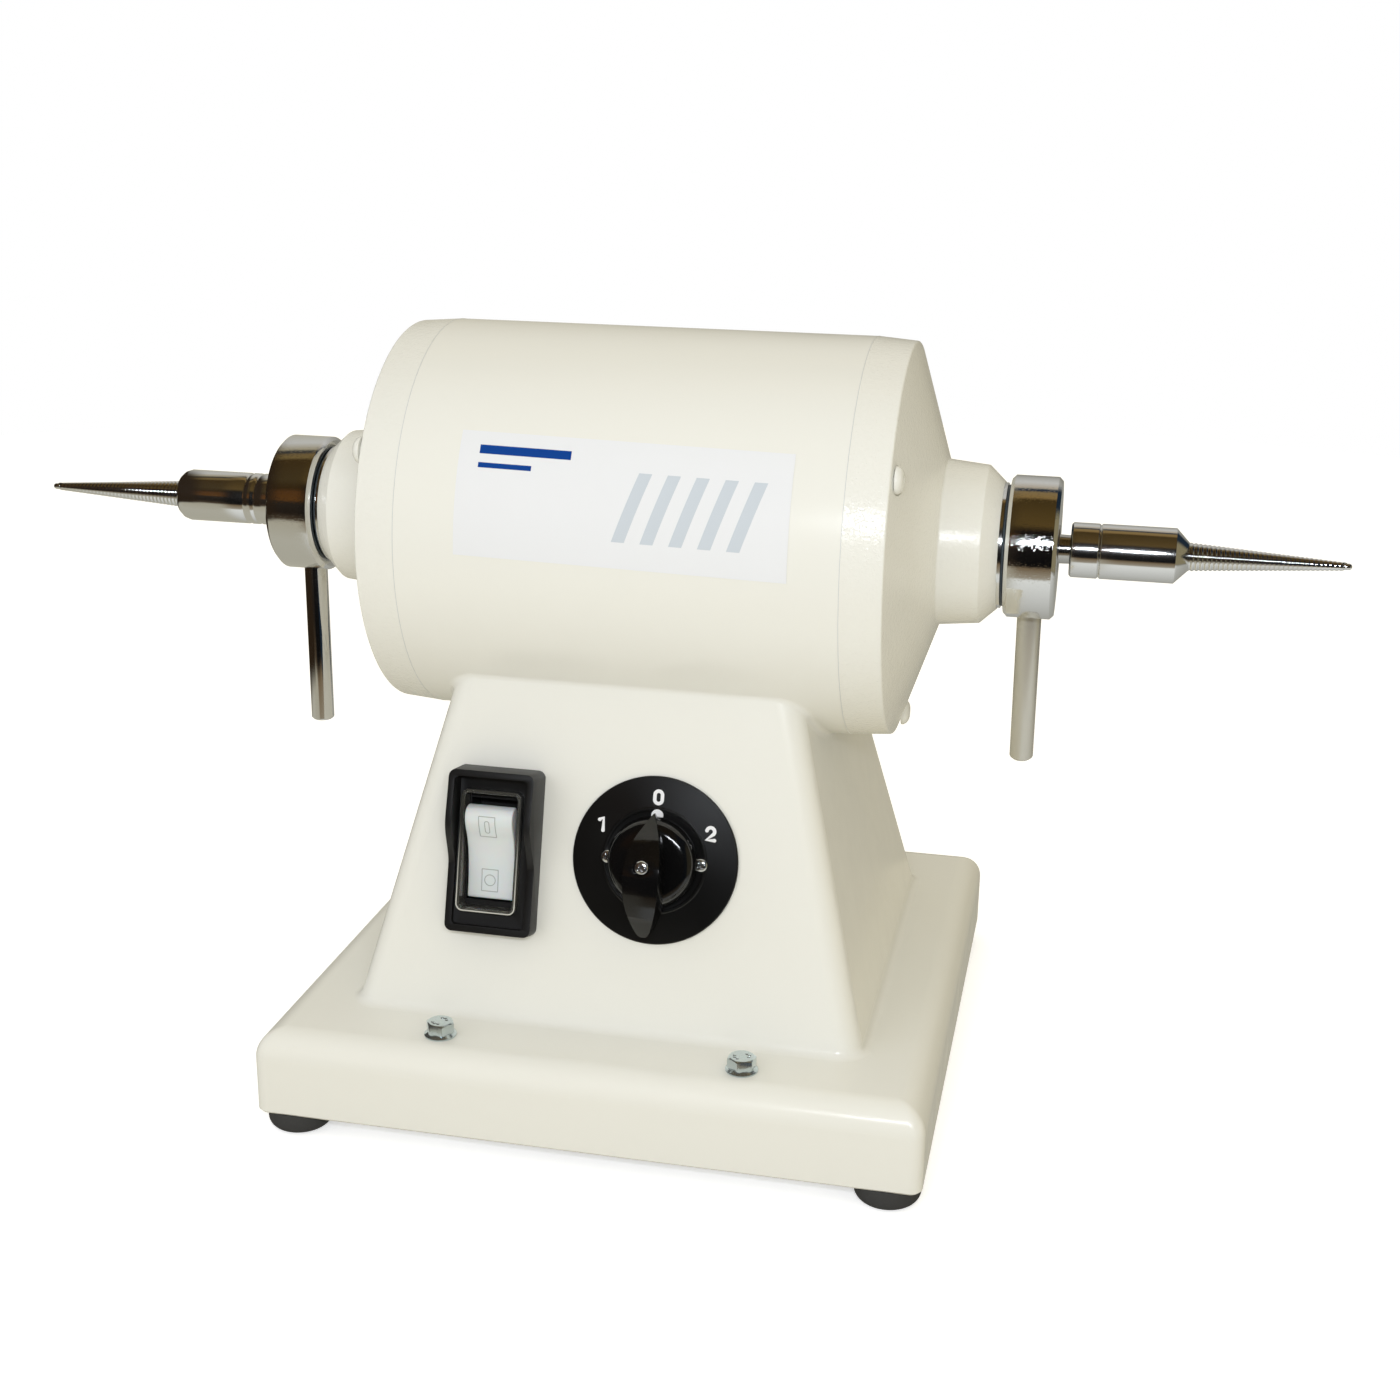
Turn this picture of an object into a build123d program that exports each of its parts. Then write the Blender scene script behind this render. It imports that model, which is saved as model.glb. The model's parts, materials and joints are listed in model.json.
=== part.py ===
"""Bench polishing motor with two spindles, lever-released mandrels and a two-speed switch.

Millimetres, +Z up.  +X runs along the spindle to the right, +Y into the depth of the bench.
The origin lies on the bench, under the middle of the rubber feet.
"""

import math
import os

from build123d import *

# Driving sizes: base and pedestal
BASE_WIDTH = 266.0
BASE_DEPTH = 262.0
BASE_HEIGHT = 34.5
BASE_EDGE_R = 11.0
BASE_CORNER_R = 5.0
BASE_BOTTOM_EDGE = 1.0
WALL = 5.0
PEDESTAL_BEYOND_SEAM = 17.5
PEDESTAL_BEYOND_BARREL = 15.0
PEDESTAL_TAPER_DEG = 14.5
PEDESTAL_CORNER_R = 9.0
PEDESTAL_ROOT_R = 4.0
BARREL_JOINT_R = 2.5
SHAFT_CENTRE_ABOVE_BASE = 185.0

# Driving sizes: feet, cover and base fasteners
FOOT_R = 13.0
FOOT_HEIGHT = 9.0
FOOT_EDGE_R = 4.5
FOOT_INSET = 1.0
FOOT_SCREW_R = 2.5
FOOT_SCREW_HEAD_R = 4.8
FOOT_SCREW_HEAD_H = 3.2
FOOT_SCREW_LENGTH = 16.0
FOOT_RECESS_R = 6.0
FOOT_SEAT_WEB = 3.5
PAD_R = 14.0
COVER_T = 2.0
COVER_RECESS = 5.0
COVER_CLEARANCE = 0.4
BOLT_X = 60.6
BOLT_R = 3.0
BOLT_FLANGE_R = 6.5
BOLT_FLANGE_H = 1.2
BOLT_HEX_AF = 10.0
BOLT_HEX_H = 4.6
PILLAR_R = 7.5
NUT_H = 4.2
VENT_COUNT = 4
VENT_LENGTH = 80.0
VENT_WIDTH = 12.0
VENT_PITCH = 24.0
VENT_SHARE = 0.27

# Driving sizes: barrel and end shields
BARREL_R = 80.0
BARREL_HALF_LENGTH = 86.5
BARREL_WALL = 6.0
RIM_X = 104.5
RIM_EDGE_R = 2.2
CONE_FOOT_R = 33.0
CONE_FOOT_X = 116.0
HUB_R = 31.6
HUB_CHAMFER_X = 133.7
HUB_NOSE_X = 140.2
HUB_NOSE_R = 25.5
HUB_ROOT_R = 2.5
HUB_EDGE_R = 1.0
SPIGOT_LENGTH = 6.5
SPIGOT_WALL = 5.0
SPIGOT_R_IN = BARREL_R - BARREL_WALL - SPIGOT_WALL
SPIGOT_CLEARANCE = 0.1
SHIELD_WALL = 5.5
SHIELD_SCREW_INSET = 7.0
SHIELD_SCREW_CIRCLE_R = BARREL_R - SHIELD_SCREW_INSET
SHIELD_SCREW_R = 3.0
SHIELD_SCREW_HEAD_R = 5.3
SHIELD_SCREW_HEAD_H = 3.2
SHIELD_SCREW_LENGTH = 50.0
SHIELD_SCREW_SPOT_GAP = 0.4
SHIELD_SCREW_ANGLES = (30.0, 150.0, 270.0)
SCREW_CLEARANCE = 0.2

# Driving sizes: stator and rotor
RIB_HEIGHT = 8.0
STATOR_R = BARREL_R - BARREL_WALL - RIB_HEIGHT
STATOR_HALF_LENGTH = 45.0
STATOR_YOKE_AND_TEETH = 25.6
STATOR_BORE_R = STATOR_R - STATOR_YOKE_AND_TEETH
SLOT_COUNT = 24
SLOT_DEPTH = 15.5
SLOT_WIDTH = 4.6
SLOT_LINER = 0.3
WINDING_OVERHANG = 17.0
WINDING_R_IN = STATOR_BORE_R + 2.6
WINDING_R_OUT = STATOR_R - 5.0
RIB_WIDTH = 14.0
RIB_HALF_LENGTH = 78.0
AIR_GAP = 0.4
END_RING_LENGTH = 10.0
END_RING_R_OUT = STATOR_BORE_R - 2.4
END_RING_WIDTH = 15.0
END_RING_R_IN = END_RING_R_OUT - END_RING_WIDTH
FAN_FIN_COUNT = 8
FAN_FIN_LENGTH = 7.0
FAN_FIN_T = 2.4

# Driving sizes: shaft and ball bearings (20 x 47 x 14)
SHAFT_CORE_R = 14.0
SHAFT_SHOULDER_R = 12.4
BEARING_BORE_R = 10.0
BEARING_OUTER_R = 23.5
BEARING_WIDTH = 14.0
BEARING_X = 117.0
INNER_RING_R = 14.1
OUTER_RING_R_IN = 19.4
BALL_R = 3.97
BALL_PITCH_R = 16.75
BALL_COUNT = 8
BALL_CLEARANCE = 0.15
CAGE_R_IN = 15.6
CAGE_R_OUT = 17.9
CAGE_WIDTH = 9.0
WAVE_SPRING_T = 1.2
CIRCLIP_T = 1.2
CIRCLIP_R = 12.6
CIRCLIP_GROOVE = 0.6
SHAFT_SLEEVE_R = 8.0
SHAFT_CONE_X = 156.0
SHAFT_CONE_R = 6.0
SHAFT_CONE_END_X = 199.0
SHAFT_CONE_END_R = 4.9

# Driving sizes: release ring, lever and fixed cam sleeve
RING_BACK_X = 142.9
RING_LENGTH = 19.8
RING_R = 28.3
RING_CHAMFER = 1.5
SLEEVE_R = 20.0
SLEEVE_BORE_R = 10.0
SLEEVE_FLANGE_R = 25.0
SLEEVE_FLANGE_T = 1.3
SLEEVE_FRONT_X = 158.2
SLEEVE_SPIGOT_R = 18.5
SLEEVE_CLEARANCE = 0.3
SEAL_R = 24.2
SEAL_SECTION = 1.1
RELEASE_TURN_DEG = 60.0
RELEASE_TRAVEL = 4.1
LEVER_R = 4.9
LEVER_END_RADIUS = 97.4
LEVER_PIN_R = 3.0
LEVER_PIN_END_R = 14.8
LEVER_CHAMFER = 0.8
SLOT_SIDE_CLEARANCE = 0.5
SLOT_STEPS = 13
SLOT_MIN_WALL = 1.0
EJECTOR_FLANGE_R = 14.7
EJECTOR_FLANGE_T = 1.6
EJECTOR_NOSE_R = 9.4
EJECTOR_BORE_R = 6.6
EJECTOR_NOSE_X = 162.9
LEVER_LEAN_DEG = {"left": 0.0, "right": 12.0}

# Driving sizes: polishing mandrels
MANDREL_BACK_X = 167.3
MANDREL_FRONT_X = 208.6
MANDREL_R = 10.9
MANDREL_EDGE = 0.8
MANDREL_GROOVE_DEPTH = 0.6
MANDREL_GROOVES = {"left": (182.6, 186.3), "right": (178.7,)}
THREAD_FOOT_X = 212.9
THREAD_FOOT_R = 5.7
THREAD_TIP_X = 274.5
THREAD_TIP_R = 1.3
TAPER_FIT = 0.03
SOCKET_END_GAP = 2.0

# Driving sizes: dial, cam switch and knob (places on the sloping front face)
DIAL_X = 17.6
DIAL_UP = 70.2
DIAL_R = 33.3
DIAL_T = 1.5
DIAL_SCREW_OFFSET = 19.2
DIAL_SCREW_R = 1.9
DIAL_SCREW_HEAD_R = 3.5
DIAL_SCREW_HEAD_H = 2.2
DIAL_SCREW_LENGTH = 16.0
SPINDLE_R = 4.0
SPINDLE_CLEARANCE = 0.3
SPINDLE_HOLE_R = 6.0
CAM_BODY_SIZE = 46.0
CAM_BODY_DEPTH = 42.0
CAM_BODY_STEP = 6.0
KNOB_FLOOR = 4.4
KNOB_SKIRT_TOP = 12.5
KNOB_R = 17.9
KNOB_TOP_R = 16.9
GRIP_HALF_WIDTH = 7.0
GRIP_NOSE = 19.2
GRIP_TAIL = 28.5
GRIP_TOP = 24.5
KNOB_SCREW_R = 2.0
KNOB_SCREW_HEAD_R = 3.1
KNOB_SCREW_HEAD_H = 1.6
KNOB_SCREW_SEAT = 23.4
SPINDLE_TOP = 15.0

# Driving sizes: rocker switch (places on the sloping front face)
ROCKER_X = -48.2
ROCKER_UP = 68.2
BEZEL_WIDTH = 38.4
BEZEL_LENGTH = 66.4
BEZEL_DRAFT_DEG = 11.0
BEZEL_LOW = 7.5
BEZEL_HIGH = 11.0
BEZEL_CORNER_R = 3.5
BEZEL_RIM = 3.0
SPLASH_WIDTH = 25.0
SPLASH_LENGTH = 49.0
SPLASH_WALL = 1.6
SPLASH_TOP = 9.0
SPLASH_CORNER_R = 3.0
SPLASH_INNER_R = 1.6
ROCKER_WIDTH = 19.6
ROCKER_LENGTH = 38.6
ROCKER_TILT_DEG = 10.0
ROCKER_SIDE_GAP = 0.5
ROCKER_END_GAP = 1.2
ROCKER_BODY_WIDTH = 21.5
ROCKER_BODY_LENGTH = 44.0
ROCKER_BODY_DEPTH = 26.0
SWITCH_TAB_LENGTH = 9.0
SWITCH_TAB_WIDTH = 6.3
SWITCH_TAB_T = 0.8

# Driving sizes: inside the pedestal and the cable gland
CAPACITOR_R = 20.0
CAPACITOR_LENGTH = 78.0
CAPACITOR_X = -55.0
CAPACITOR_Y = 20.0
CLIP_T = 1.2
CLIP_WIDTH = 18.0
TERMINAL_SIZE = (58.0, 20.0, 17.0)
TERMINAL_X = 45.0
TERMINAL_Y = 20.0
TERMINAL_POLES = 6
EARTH_X = 70.0
EARTH_Y = -60.0
GLAND_X = 58.0
GLAND_Z = 66.0
GLAND_BOSS_R = 15.0
GLAND_BOSS_PROUD = 2.0
GLAND_THREAD_R = 8.0
GLAND_BORE_R = 4.1
GLAND_HEX_AF = 20.0
GLAND_HEX_T = 4.5
GLAND_NECK_LENGTH = 9.0
GLAND_NUT_LENGTH = 16.0
GLAND_SEAL_LENGTH = 10.0
GLAND_LOCKNUT_T = 4.0
WIRE_SLOT_LENGTH = 34.0
WIRE_SLOT_WIDTH = 14.0

# Places that follow from the sizes above
PEDESTAL_HALF_WIDTH = BARREL_HALF_LENGTH + PEDESTAL_BEYOND_SEAM
PEDESTAL_HALF_DEPTH = BARREL_R + PEDESTAL_BEYOND_BARREL
BOLT_Y = (BASE_DEPTH / 2 + PEDESTAL_HALF_DEPTH) / 2
GLAND_FACE_Y = PEDESTAL_HALF_DEPTH + GLAND_BOSS_PROUD
BASE_BOTTOM = FOOT_HEIGHT
BASE_TOP = BASE_BOTTOM + BASE_HEIGHT
SHAFT_Z = BASE_TOP + SHAFT_CENTRE_ABOVE_BASE
TAPER = math.tan(math.radians(PEDESTAL_TAPER_DEG))
COVER_TOP = BASE_BOTTOM + COVER_RECESS + COVER_T
COVER_BOTTOM = BASE_BOTTOM + COVER_RECESS
FOOT_X = BASE_WIDTH / 2 - FOOT_INSET - FOOT_R
FOOT_Y = BASE_DEPTH / 2 - FOOT_R
BEARING_END_X = BEARING_X + BEARING_WIDTH
RING_FRONT_X = RING_BACK_X + RING_LENGTH
RING_MID_X = RING_BACK_X + RING_LENGTH / 2
SIDES = {"left": -1, "right": 1}


# Helpers

def on_shaft(shape, side=1):
    """Lift a shape drawn about the X axis to the spindle, mirrored for the left side."""
    placed = shape if side > 0 else shape.mirror(Plane.YZ)
    return Pos(0, 0, SHAFT_Z) * placed


def turned(points):
    """Revolve a closed outline of (x, radius) points about the X axis."""
    outline = make_face(Polyline(*[(x, r) for x, r in points], close=True))
    return revolve(outline, Axis.X, 360)


def tube_x(r_out, r_in, x0, x1):
    """A straight tube or, with r_in of 0, a rod along the X axis."""
    return turned([(x0, r_in), (x1, r_in), (x1, r_out), (x0, r_out)])


def rod_x(r, x0, x1):
    """A straight rod along the X axis."""
    return Pos((x0 + x1) / 2, 0, 0) * Rot(0, 90, 0) * Cylinder(r, x1 - x0)


def about_x(shape, angle):
    """Turn a shape about the X axis."""
    return Rot(angle, 0, 0) * shape


def post(x, y, z0, z1, r):
    """An upright cylinder from z0 to z1."""
    return Pos(x, y, z0) * Cylinder(r, z1 - z0, align=(Align.CENTER, Align.CENTER, Align.MIN))


def hexagon(across_flats, height):
    """A hexagonal prism on the XY plane."""
    return extrude(RegularPolygon(across_flats / 2, 6, major_radius=False), height)


def corners(x, y):
    """The four places (+-x, +-y)."""
    return [(sx * x, sy * y) for sx in (-1, 1) for sy in (-1, 1)]


def group(solids):
    """Several separate solids that share one node."""
    return Compound(children=list(solids))


def pedestal_half(height, half):
    """Half a side of the pedestal at a height above the base's top."""
    return half - height * TAPER


def slab_lofted(inset, bottom, top, corner_r):
    """The tapering pedestal between two heights above the base's top, inset all round."""
    sections = []
    for height in (bottom, top):
        width = 2 * (pedestal_half(height, PEDESTAL_HALF_WIDTH) - inset)
        depth = 2 * (pedestal_half(height, PEDESTAL_HALF_DEPTH) - inset)
        sections.append(Pos(0, 0, BASE_TOP + height) * RectangleRounded(width, depth, corner_r))
    return loft(sections, ruled=True)


FRONT_FACE = Plane(
    origin=(0, -PEDESTAL_HALF_DEPTH, BASE_TOP),
    x_dir=(1, 0, 0),
    z_dir=(0, -math.cos(math.radians(PEDESTAL_TAPER_DEG)), math.sin(math.radians(PEDESTAL_TAPER_DEG))),
)
DIAL_FRAME = FRONT_FACE * Pos(DIAL_X, DIAL_UP, 0)
ROCKER_FRAME = FRONT_FACE * Pos(ROCKER_X, ROCKER_UP, 0)


# Motor housing

def base_block(inset, height, edge_r):
    """The base skirt: two rounded profiles crossed, so that its top edge is rounded all round."""
    width = BASE_WIDTH - 2 * inset
    depth = BASE_DEPTH - 2 * inset
    profile_x = Plane.XZ * Pos(0, height / 2, 0) * Rectangle(width, height)
    profile_y = Plane.YZ * Pos(0, height / 2, 0) * Rectangle(depth, height)
    along_y = extrude(profile_x, BASE_DEPTH / 2 - inset, both=True)
    along_x = extrude(profile_y, BASE_WIDTH / 2 - inset, both=True)
    along_y = fillet(along_y.edges().filter_by(Axis.Y).group_by(Axis.Z)[-1], edge_r)
    along_x = fillet(along_x.edges().filter_by(Axis.X).group_by(Axis.Z)[-1], edge_r)
    block = along_x & along_y
    block = fillet(block.edges().filter_by(Axis.Z), BASE_CORNER_R)
    return Pos(0, 0, BASE_BOTTOM) * block


def housing_outside():
    """Base skirt, pedestal and barrel as one solid casting, with its blends."""
    base = base_block(0, BASE_HEIGHT, BASE_EDGE_R)
    base = chamfer(base.faces().sort_by(Axis.Z)[0].edges(), BASE_BOTTOM_EDGE)
    pedestal = slab_lofted(0, -WALL / 2, SHAFT_CENTRE_ABOVE_BASE - BARREL_R / 2, PEDESTAL_CORNER_R)
    casting = base + pedestal
    root = [
        edge
        for edge in casting.edges()
        if abs(edge.center().Z - BASE_TOP) < 0.01
        and abs(edge.center().X) < PEDESTAL_HALF_WIDTH + 1
        and abs(edge.center().Y) < PEDESTAL_HALF_DEPTH + 1
    ]
    casting = fillet(root, PEDESTAL_ROOT_R)
    casting += on_shaft(rod_x(BARREL_R, -BARREL_HALF_LENGTH, BARREL_HALF_LENGTH))
    joint = [edge for edge in casting.edges() if is_barrel_joint(edge)]
    return fillet(joint, BARREL_JOINT_R)


def is_barrel_joint(edge):
    """True for the edges where the pedestal's four sides run into the barrel."""
    box = edge.bounding_box()
    below_barrel = box.min.Z > SHAFT_Z - BARREL_R - 1 and box.max.Z < SHAFT_Z
    return below_barrel and abs(edge.center().X) < BARREL_HALF_LENGTH - 1


def housing_inside():
    """The space inside the skirt and the pedestal, up to the barrel's wall."""
    skirt = base_block(WALL, BASE_HEIGHT - WALL, BASE_EDGE_R - WALL)
    pedestal = slab_lofted(WALL, -WALL - 1, SHAFT_CENTRE_ABOVE_BASE - BARREL_R / 2, PEDESTAL_CORNER_R - WALL)
    barrel = on_shaft(rod_x(BARREL_R, -BARREL_HALF_LENGTH * 2, BARREL_HALF_LENGTH * 2))
    return skirt + pedestal - barrel


def barrel_ribs():
    """Ribs in the barrel that carry the stator; three of them hold the end shield screws."""
    bore_r = BARREL_R - BARREL_WALL
    ribs = []
    for step in range(6):
        rib = Box(2 * RIB_HALF_LENGTH, bore_r - STATOR_R + 2, RIB_WIDTH)
        rib = Pos(0, (bore_r + STATOR_R + 2) / 2, 0) * rib
        ribs.append(about_x(rib, 30 + 60 * step))
    return ribs


def make_housing():
    """The casting, hollowed, with its ribs, pads, pillars, boss and openings."""
    bore_r = BARREL_R - BARREL_WALL
    housing = housing_outside() - housing_inside()
    housing -= on_shaft(rod_x(bore_r, -BARREL_HALF_LENGTH, BARREL_HALF_LENGTH))
    for rib in barrel_ribs():
        housing += on_shaft(rib)
    housing -= on_shaft(rod_x(STATOR_R, -RIB_HALF_LENGTH - 1, RIB_HALF_LENGTH + 1))
    inside_skirt = base_block(WALL / 2, BASE_HEIGHT - WALL / 2, BASE_EDGE_R - WALL / 2)
    for x, y in corners(FOOT_X, FOOT_Y):
        housing += post(x, y, BASE_BOTTOM, BASE_TOP - WALL / 2, PAD_R) & inside_skirt
        housing -= post(x, y, BASE_BOTTOM, BASE_BOTTOM + FOOT_SCREW_LENGTH, FOOT_SCREW_R)
    for x, y in corners(BOLT_X, BOLT_Y):
        housing += post(x, y, COVER_TOP, BASE_TOP - WALL / 2, PILLAR_R)
        housing -= post(x, y, BASE_BOTTOM, BASE_TOP + 1, BOLT_R + SCREW_CLEARANCE)
    for side in SIDES.values():
        for angle in SHIELD_SCREW_ANGLES:
            start = screw_seat_x() - SHIELD_SCREW_LENGTH - 2
            hole = Pos(0, SHIELD_SCREW_CIRCLE_R, 0) * rod_x(SHIELD_SCREW_R, start, BARREL_HALF_LENGTH)
            housing -= on_shaft(about_x(hole, angle), side)
    housing = add_gland_boss(housing)
    return cut_openings(housing)


def gland_boss_length():
    """Length of the gland's boss, from its outer face to its flat inner end."""
    rear_at_gland = pedestal_half(GLAND_Z - BASE_TOP, PEDESTAL_HALF_DEPTH)
    return GLAND_FACE_Y - rear_at_gland + 2 * WALL


def add_gland_boss(housing):
    """A boss with an upright face on the sloping back, drilled for the cable gland."""
    boss_length = gland_boss_length()
    boss = Cylinder(GLAND_BOSS_R, boss_length, align=(Align.CENTER, Align.CENTER, Align.MAX))
    boss = Pos(GLAND_X, GLAND_FACE_Y, GLAND_Z) * Rot(-90, 0, 0) * boss
    hole = Cylinder(GLAND_THREAD_R + SCREW_CLEARANCE, 3 * boss_length)
    hole = Pos(GLAND_X, GLAND_FACE_Y, GLAND_Z) * Rot(-90, 0, 0) * hole
    return housing + boss - hole


def cut_openings(housing):
    """Front face openings for the switches, and the wire slot in the barrel's belly."""
    spindle_hole = Cylinder(SPINDLE_HOLE_R, 4 * WALL)
    cuts = [DIAL_FRAME * spindle_hole]
    for side in (-1, 1):
        hole = Cylinder(DIAL_SCREW_R + SCREW_CLEARANCE, 4 * WALL)
        cuts.append(DIAL_FRAME * Pos(side * DIAL_SCREW_OFFSET, 0, 0) * hole)
    window = Box(ROCKER_BODY_WIDTH + 2 * SCREW_CLEARANCE, ROCKER_BODY_LENGTH + 2 * SCREW_CLEARANCE, 4 * WALL)
    cuts.append(ROCKER_FRAME * window)
    slot = extrude(SlotOverall(WIRE_SLOT_LENGTH, WIRE_SLOT_WIDTH), 3 * BARREL_WALL)
    cuts.append(Pos(STATOR_HALF_LENGTH + WINDING_OVERHANG, 0, SHAFT_Z - BARREL_R - BARREL_WALL) * Rot(0, 0, 90) * slot)
    for cut in cuts:
        housing -= cut
    return housing


# End shields and their screws

def cone_x(radius):
    """Where the end shield's outer cone lies at a radius."""
    share = (BARREL_R - radius) / (BARREL_R - CONE_FOOT_R)
    return RIM_X - RIM_EDGE_R / 2 + share * (CONE_FOOT_X - RIM_X + RIM_EDGE_R / 2)


def make_end_shield(side_name):
    """Rim, shallow cone and hub, with the bearing seat and the register inside."""
    spring = WAVE_SPRING_T if side_name == "left" else 0.0
    seat_end = BEARING_END_X + spring
    register_r = BARREL_R - BARREL_WALL - SPIGOT_CLEARANCE
    shield = turned([
        (BARREL_HALF_LENGTH - SPIGOT_LENGTH, SPIGOT_R_IN),
        (BARREL_HALF_LENGTH - SPIGOT_LENGTH, register_r),
        (BARREL_HALF_LENGTH, register_r),
        (BARREL_HALF_LENGTH, BARREL_R),
        (cone_x(BARREL_R), BARREL_R),
        (cone_x(HUB_R), HUB_R),
        (HUB_CHAMFER_X, HUB_R),
        (HUB_NOSE_X, HUB_NOSE_R),
        (HUB_NOSE_X, SLEEVE_SPIGOT_R),
        (seat_end, SLEEVE_SPIGOT_R),
        (seat_end, BEARING_OUTER_R),
        (BEARING_X - 1, BEARING_OUTER_R),
        (BEARING_X - 1, BEARING_OUTER_R + SHIELD_WALL),
        (cone_x(HUB_R) - SHIELD_WALL, HUB_R),
        (cone_x(SPIGOT_R_IN) - SHIELD_WALL, SPIGOT_R_IN),
    ])
    rim = [edge for edge in shield.edges() if is_circle_at(edge, cone_x(BARREL_R), BARREL_R)]
    shield = fillet(rim, RIM_EDGE_R)
    nose = [edge for edge in shield.edges() if is_circle_at(edge, HUB_CHAMFER_X, HUB_R)]
    shield = fillet(nose, HUB_EDGE_R)
    hub_root = [edge for edge in shield.edges() if is_circle_at(edge, cone_x(HUB_R), HUB_R)]
    shield = fillet(hub_root, HUB_ROOT_R)
    for angle in SHIELD_SCREW_ANGLES:
        hole = rod_x(SHIELD_SCREW_R + SCREW_CLEARANCE, 0, RIM_X + 20)
        spot = rod_x(SHIELD_SCREW_HEAD_R + SHIELD_SCREW_SPOT_GAP, screw_seat_x(), RIM_X + 20)
        for cut in (hole, spot):
            shield -= about_x(Pos(0, SHIELD_SCREW_CIRCLE_R, 0) * cut, angle)
    return on_shaft(shield, SIDES[side_name])


def screw_seat_x():
    """Depth of the spot face that an end shield screw's head sits on."""
    return cone_x(SHIELD_SCREW_CIRCLE_R + SHIELD_SCREW_HEAD_R + SHIELD_SCREW_SPOT_GAP)


def is_circle_at(edge, x, radius):
    """True for the full circle about the X axis at that place and radius."""
    box = edge.bounding_box()
    return abs(box.min.X - x) < 0.01 and abs(box.max.X - x) < 0.01 and abs(box.max.Y - radius) < 0.01


def button_screw(head_r, head_h, shank_r, length):
    """A round-headed screw: shank down -Z from its seat at 0, domed head above."""
    head = Cylinder(head_r, head_h, align=(Align.CENTER, Align.CENTER, Align.MIN))
    head = fillet(head.edges().group_by(Axis.Z)[-1], head_h * 0.8)
    shank = Cylinder(shank_r, length, align=(Align.CENTER, Align.CENTER, Align.MAX))
    return head + shank


def make_shield_screws(side_name):
    """Three round-headed screws that hold an end shield to the barrel."""
    screw = button_screw(SHIELD_SCREW_HEAD_R, SHIELD_SCREW_HEAD_H, SHIELD_SCREW_R, SHIELD_SCREW_LENGTH)
    screws = []
    for angle in SHIELD_SCREW_ANGLES:
        placed = Pos(screw_seat_x(), SHIELD_SCREW_CIRCLE_R, 0) * Rot(0, 90, 0) * screw
        screws.append(on_shaft(about_x(placed, angle), SIDES[side_name]))
    return group(screws)


# Stator and rotor

def make_stator_core():
    """Laminated ring with open winding slots."""
    core = tube_x(STATOR_R, STATOR_BORE_R, -STATOR_HALF_LENGTH, STATOR_HALF_LENGTH)
    slot = Box(2 * STATOR_HALF_LENGTH, SLOT_DEPTH + 1, SLOT_WIDTH)
    slot = Pos(0, STATOR_BORE_R + SLOT_DEPTH / 2 - 0.5, 0) * slot
    slots = [about_x(slot, index * 360 / SLOT_COUNT) for index in range(SLOT_COUNT)]
    return on_shaft(core - slots)


def make_windings():
    """Coil sides in the slots, joined by the two end bundles."""
    half = STATOR_HALF_LENGTH + 1
    bundle = turned([
        (STATOR_HALF_LENGTH + SLOT_LINER, WINDING_R_IN),
        (STATOR_HALF_LENGTH + SLOT_LINER, WINDING_R_OUT),
        (STATOR_HALF_LENGTH + WINDING_OVERHANG, WINDING_R_OUT - 3),
        (STATOR_HALF_LENGTH + WINDING_OVERHANG, WINDING_R_IN + 3),
    ])
    coil = Box(2 * half, SLOT_DEPTH - 2.5, SLOT_WIDTH - 2 * SLOT_LINER)
    coil = Pos(0, STATOR_BORE_R + SLOT_DEPTH / 2 + 0.75, 0) * coil
    coils = [about_x(coil, index * 360 / SLOT_COUNT) for index in range(SLOT_COUNT)]
    return on_shaft(bundle + bundle.mirror(Plane.YZ) + coils)


def make_rotor_core():
    """Laminated rotor pressed on the shaft."""
    core = tube_x(STATOR_BORE_R - AIR_GAP, SHAFT_CORE_R, -STATOR_HALF_LENGTH, STATOR_HALF_LENGTH)
    return on_shaft(core)


def make_rotor_end_rings():
    """Cast short-circuit rings with fan fins at both ends of the rotor."""
    ring = tube_x(END_RING_R_OUT, END_RING_R_IN, STATOR_HALF_LENGTH, STATOR_HALF_LENGTH + END_RING_LENGTH)
    fin = Box(FAN_FIN_LENGTH + 1, END_RING_R_OUT - END_RING_R_IN - 4, FAN_FIN_T)
    fin_x = STATOR_HALF_LENGTH + END_RING_LENGTH + FAN_FIN_LENGTH / 2 - 0.5
    fin = Pos(fin_x, (END_RING_R_OUT + END_RING_R_IN) / 2, 0) * fin
    for index in range(FAN_FIN_COUNT):
        ring += about_x(fin, index * 360 / FAN_FIN_COUNT)
    return group([on_shaft(ring, 1), on_shaft(ring, -1)])


def make_shaft():
    """One shaft with a core seat, bearing seats and a short cone at each end."""
    half = [
        (0, SHAFT_CORE_R),
        (STATOR_HALF_LENGTH + END_RING_LENGTH, SHAFT_CORE_R),
        (STATOR_HALF_LENGTH + END_RING_LENGTH, SHAFT_SHOULDER_R),
        (BEARING_X, SHAFT_SHOULDER_R),
        (BEARING_X, BEARING_BORE_R),
        (BEARING_END_X, BEARING_BORE_R),
        (BEARING_END_X, CIRCLIP_R - 3 * CIRCLIP_GROOVE - 2),
        (BEARING_END_X + CIRCLIP_T, CIRCLIP_R - 3 * CIRCLIP_GROOVE - 2),
        (BEARING_END_X + CIRCLIP_T, SHAFT_SLEEVE_R),
        (SHAFT_CONE_X, SHAFT_SLEEVE_R),
        (SHAFT_CONE_X, SHAFT_CONE_R),
        (SHAFT_CONE_END_X, SHAFT_CONE_END_R),
        (SHAFT_CONE_END_X, 0),
        (0, 0),
    ]
    right = turned(half)
    return on_shaft(right + right.mirror(Plane.YZ))


# Ball bearings

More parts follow.
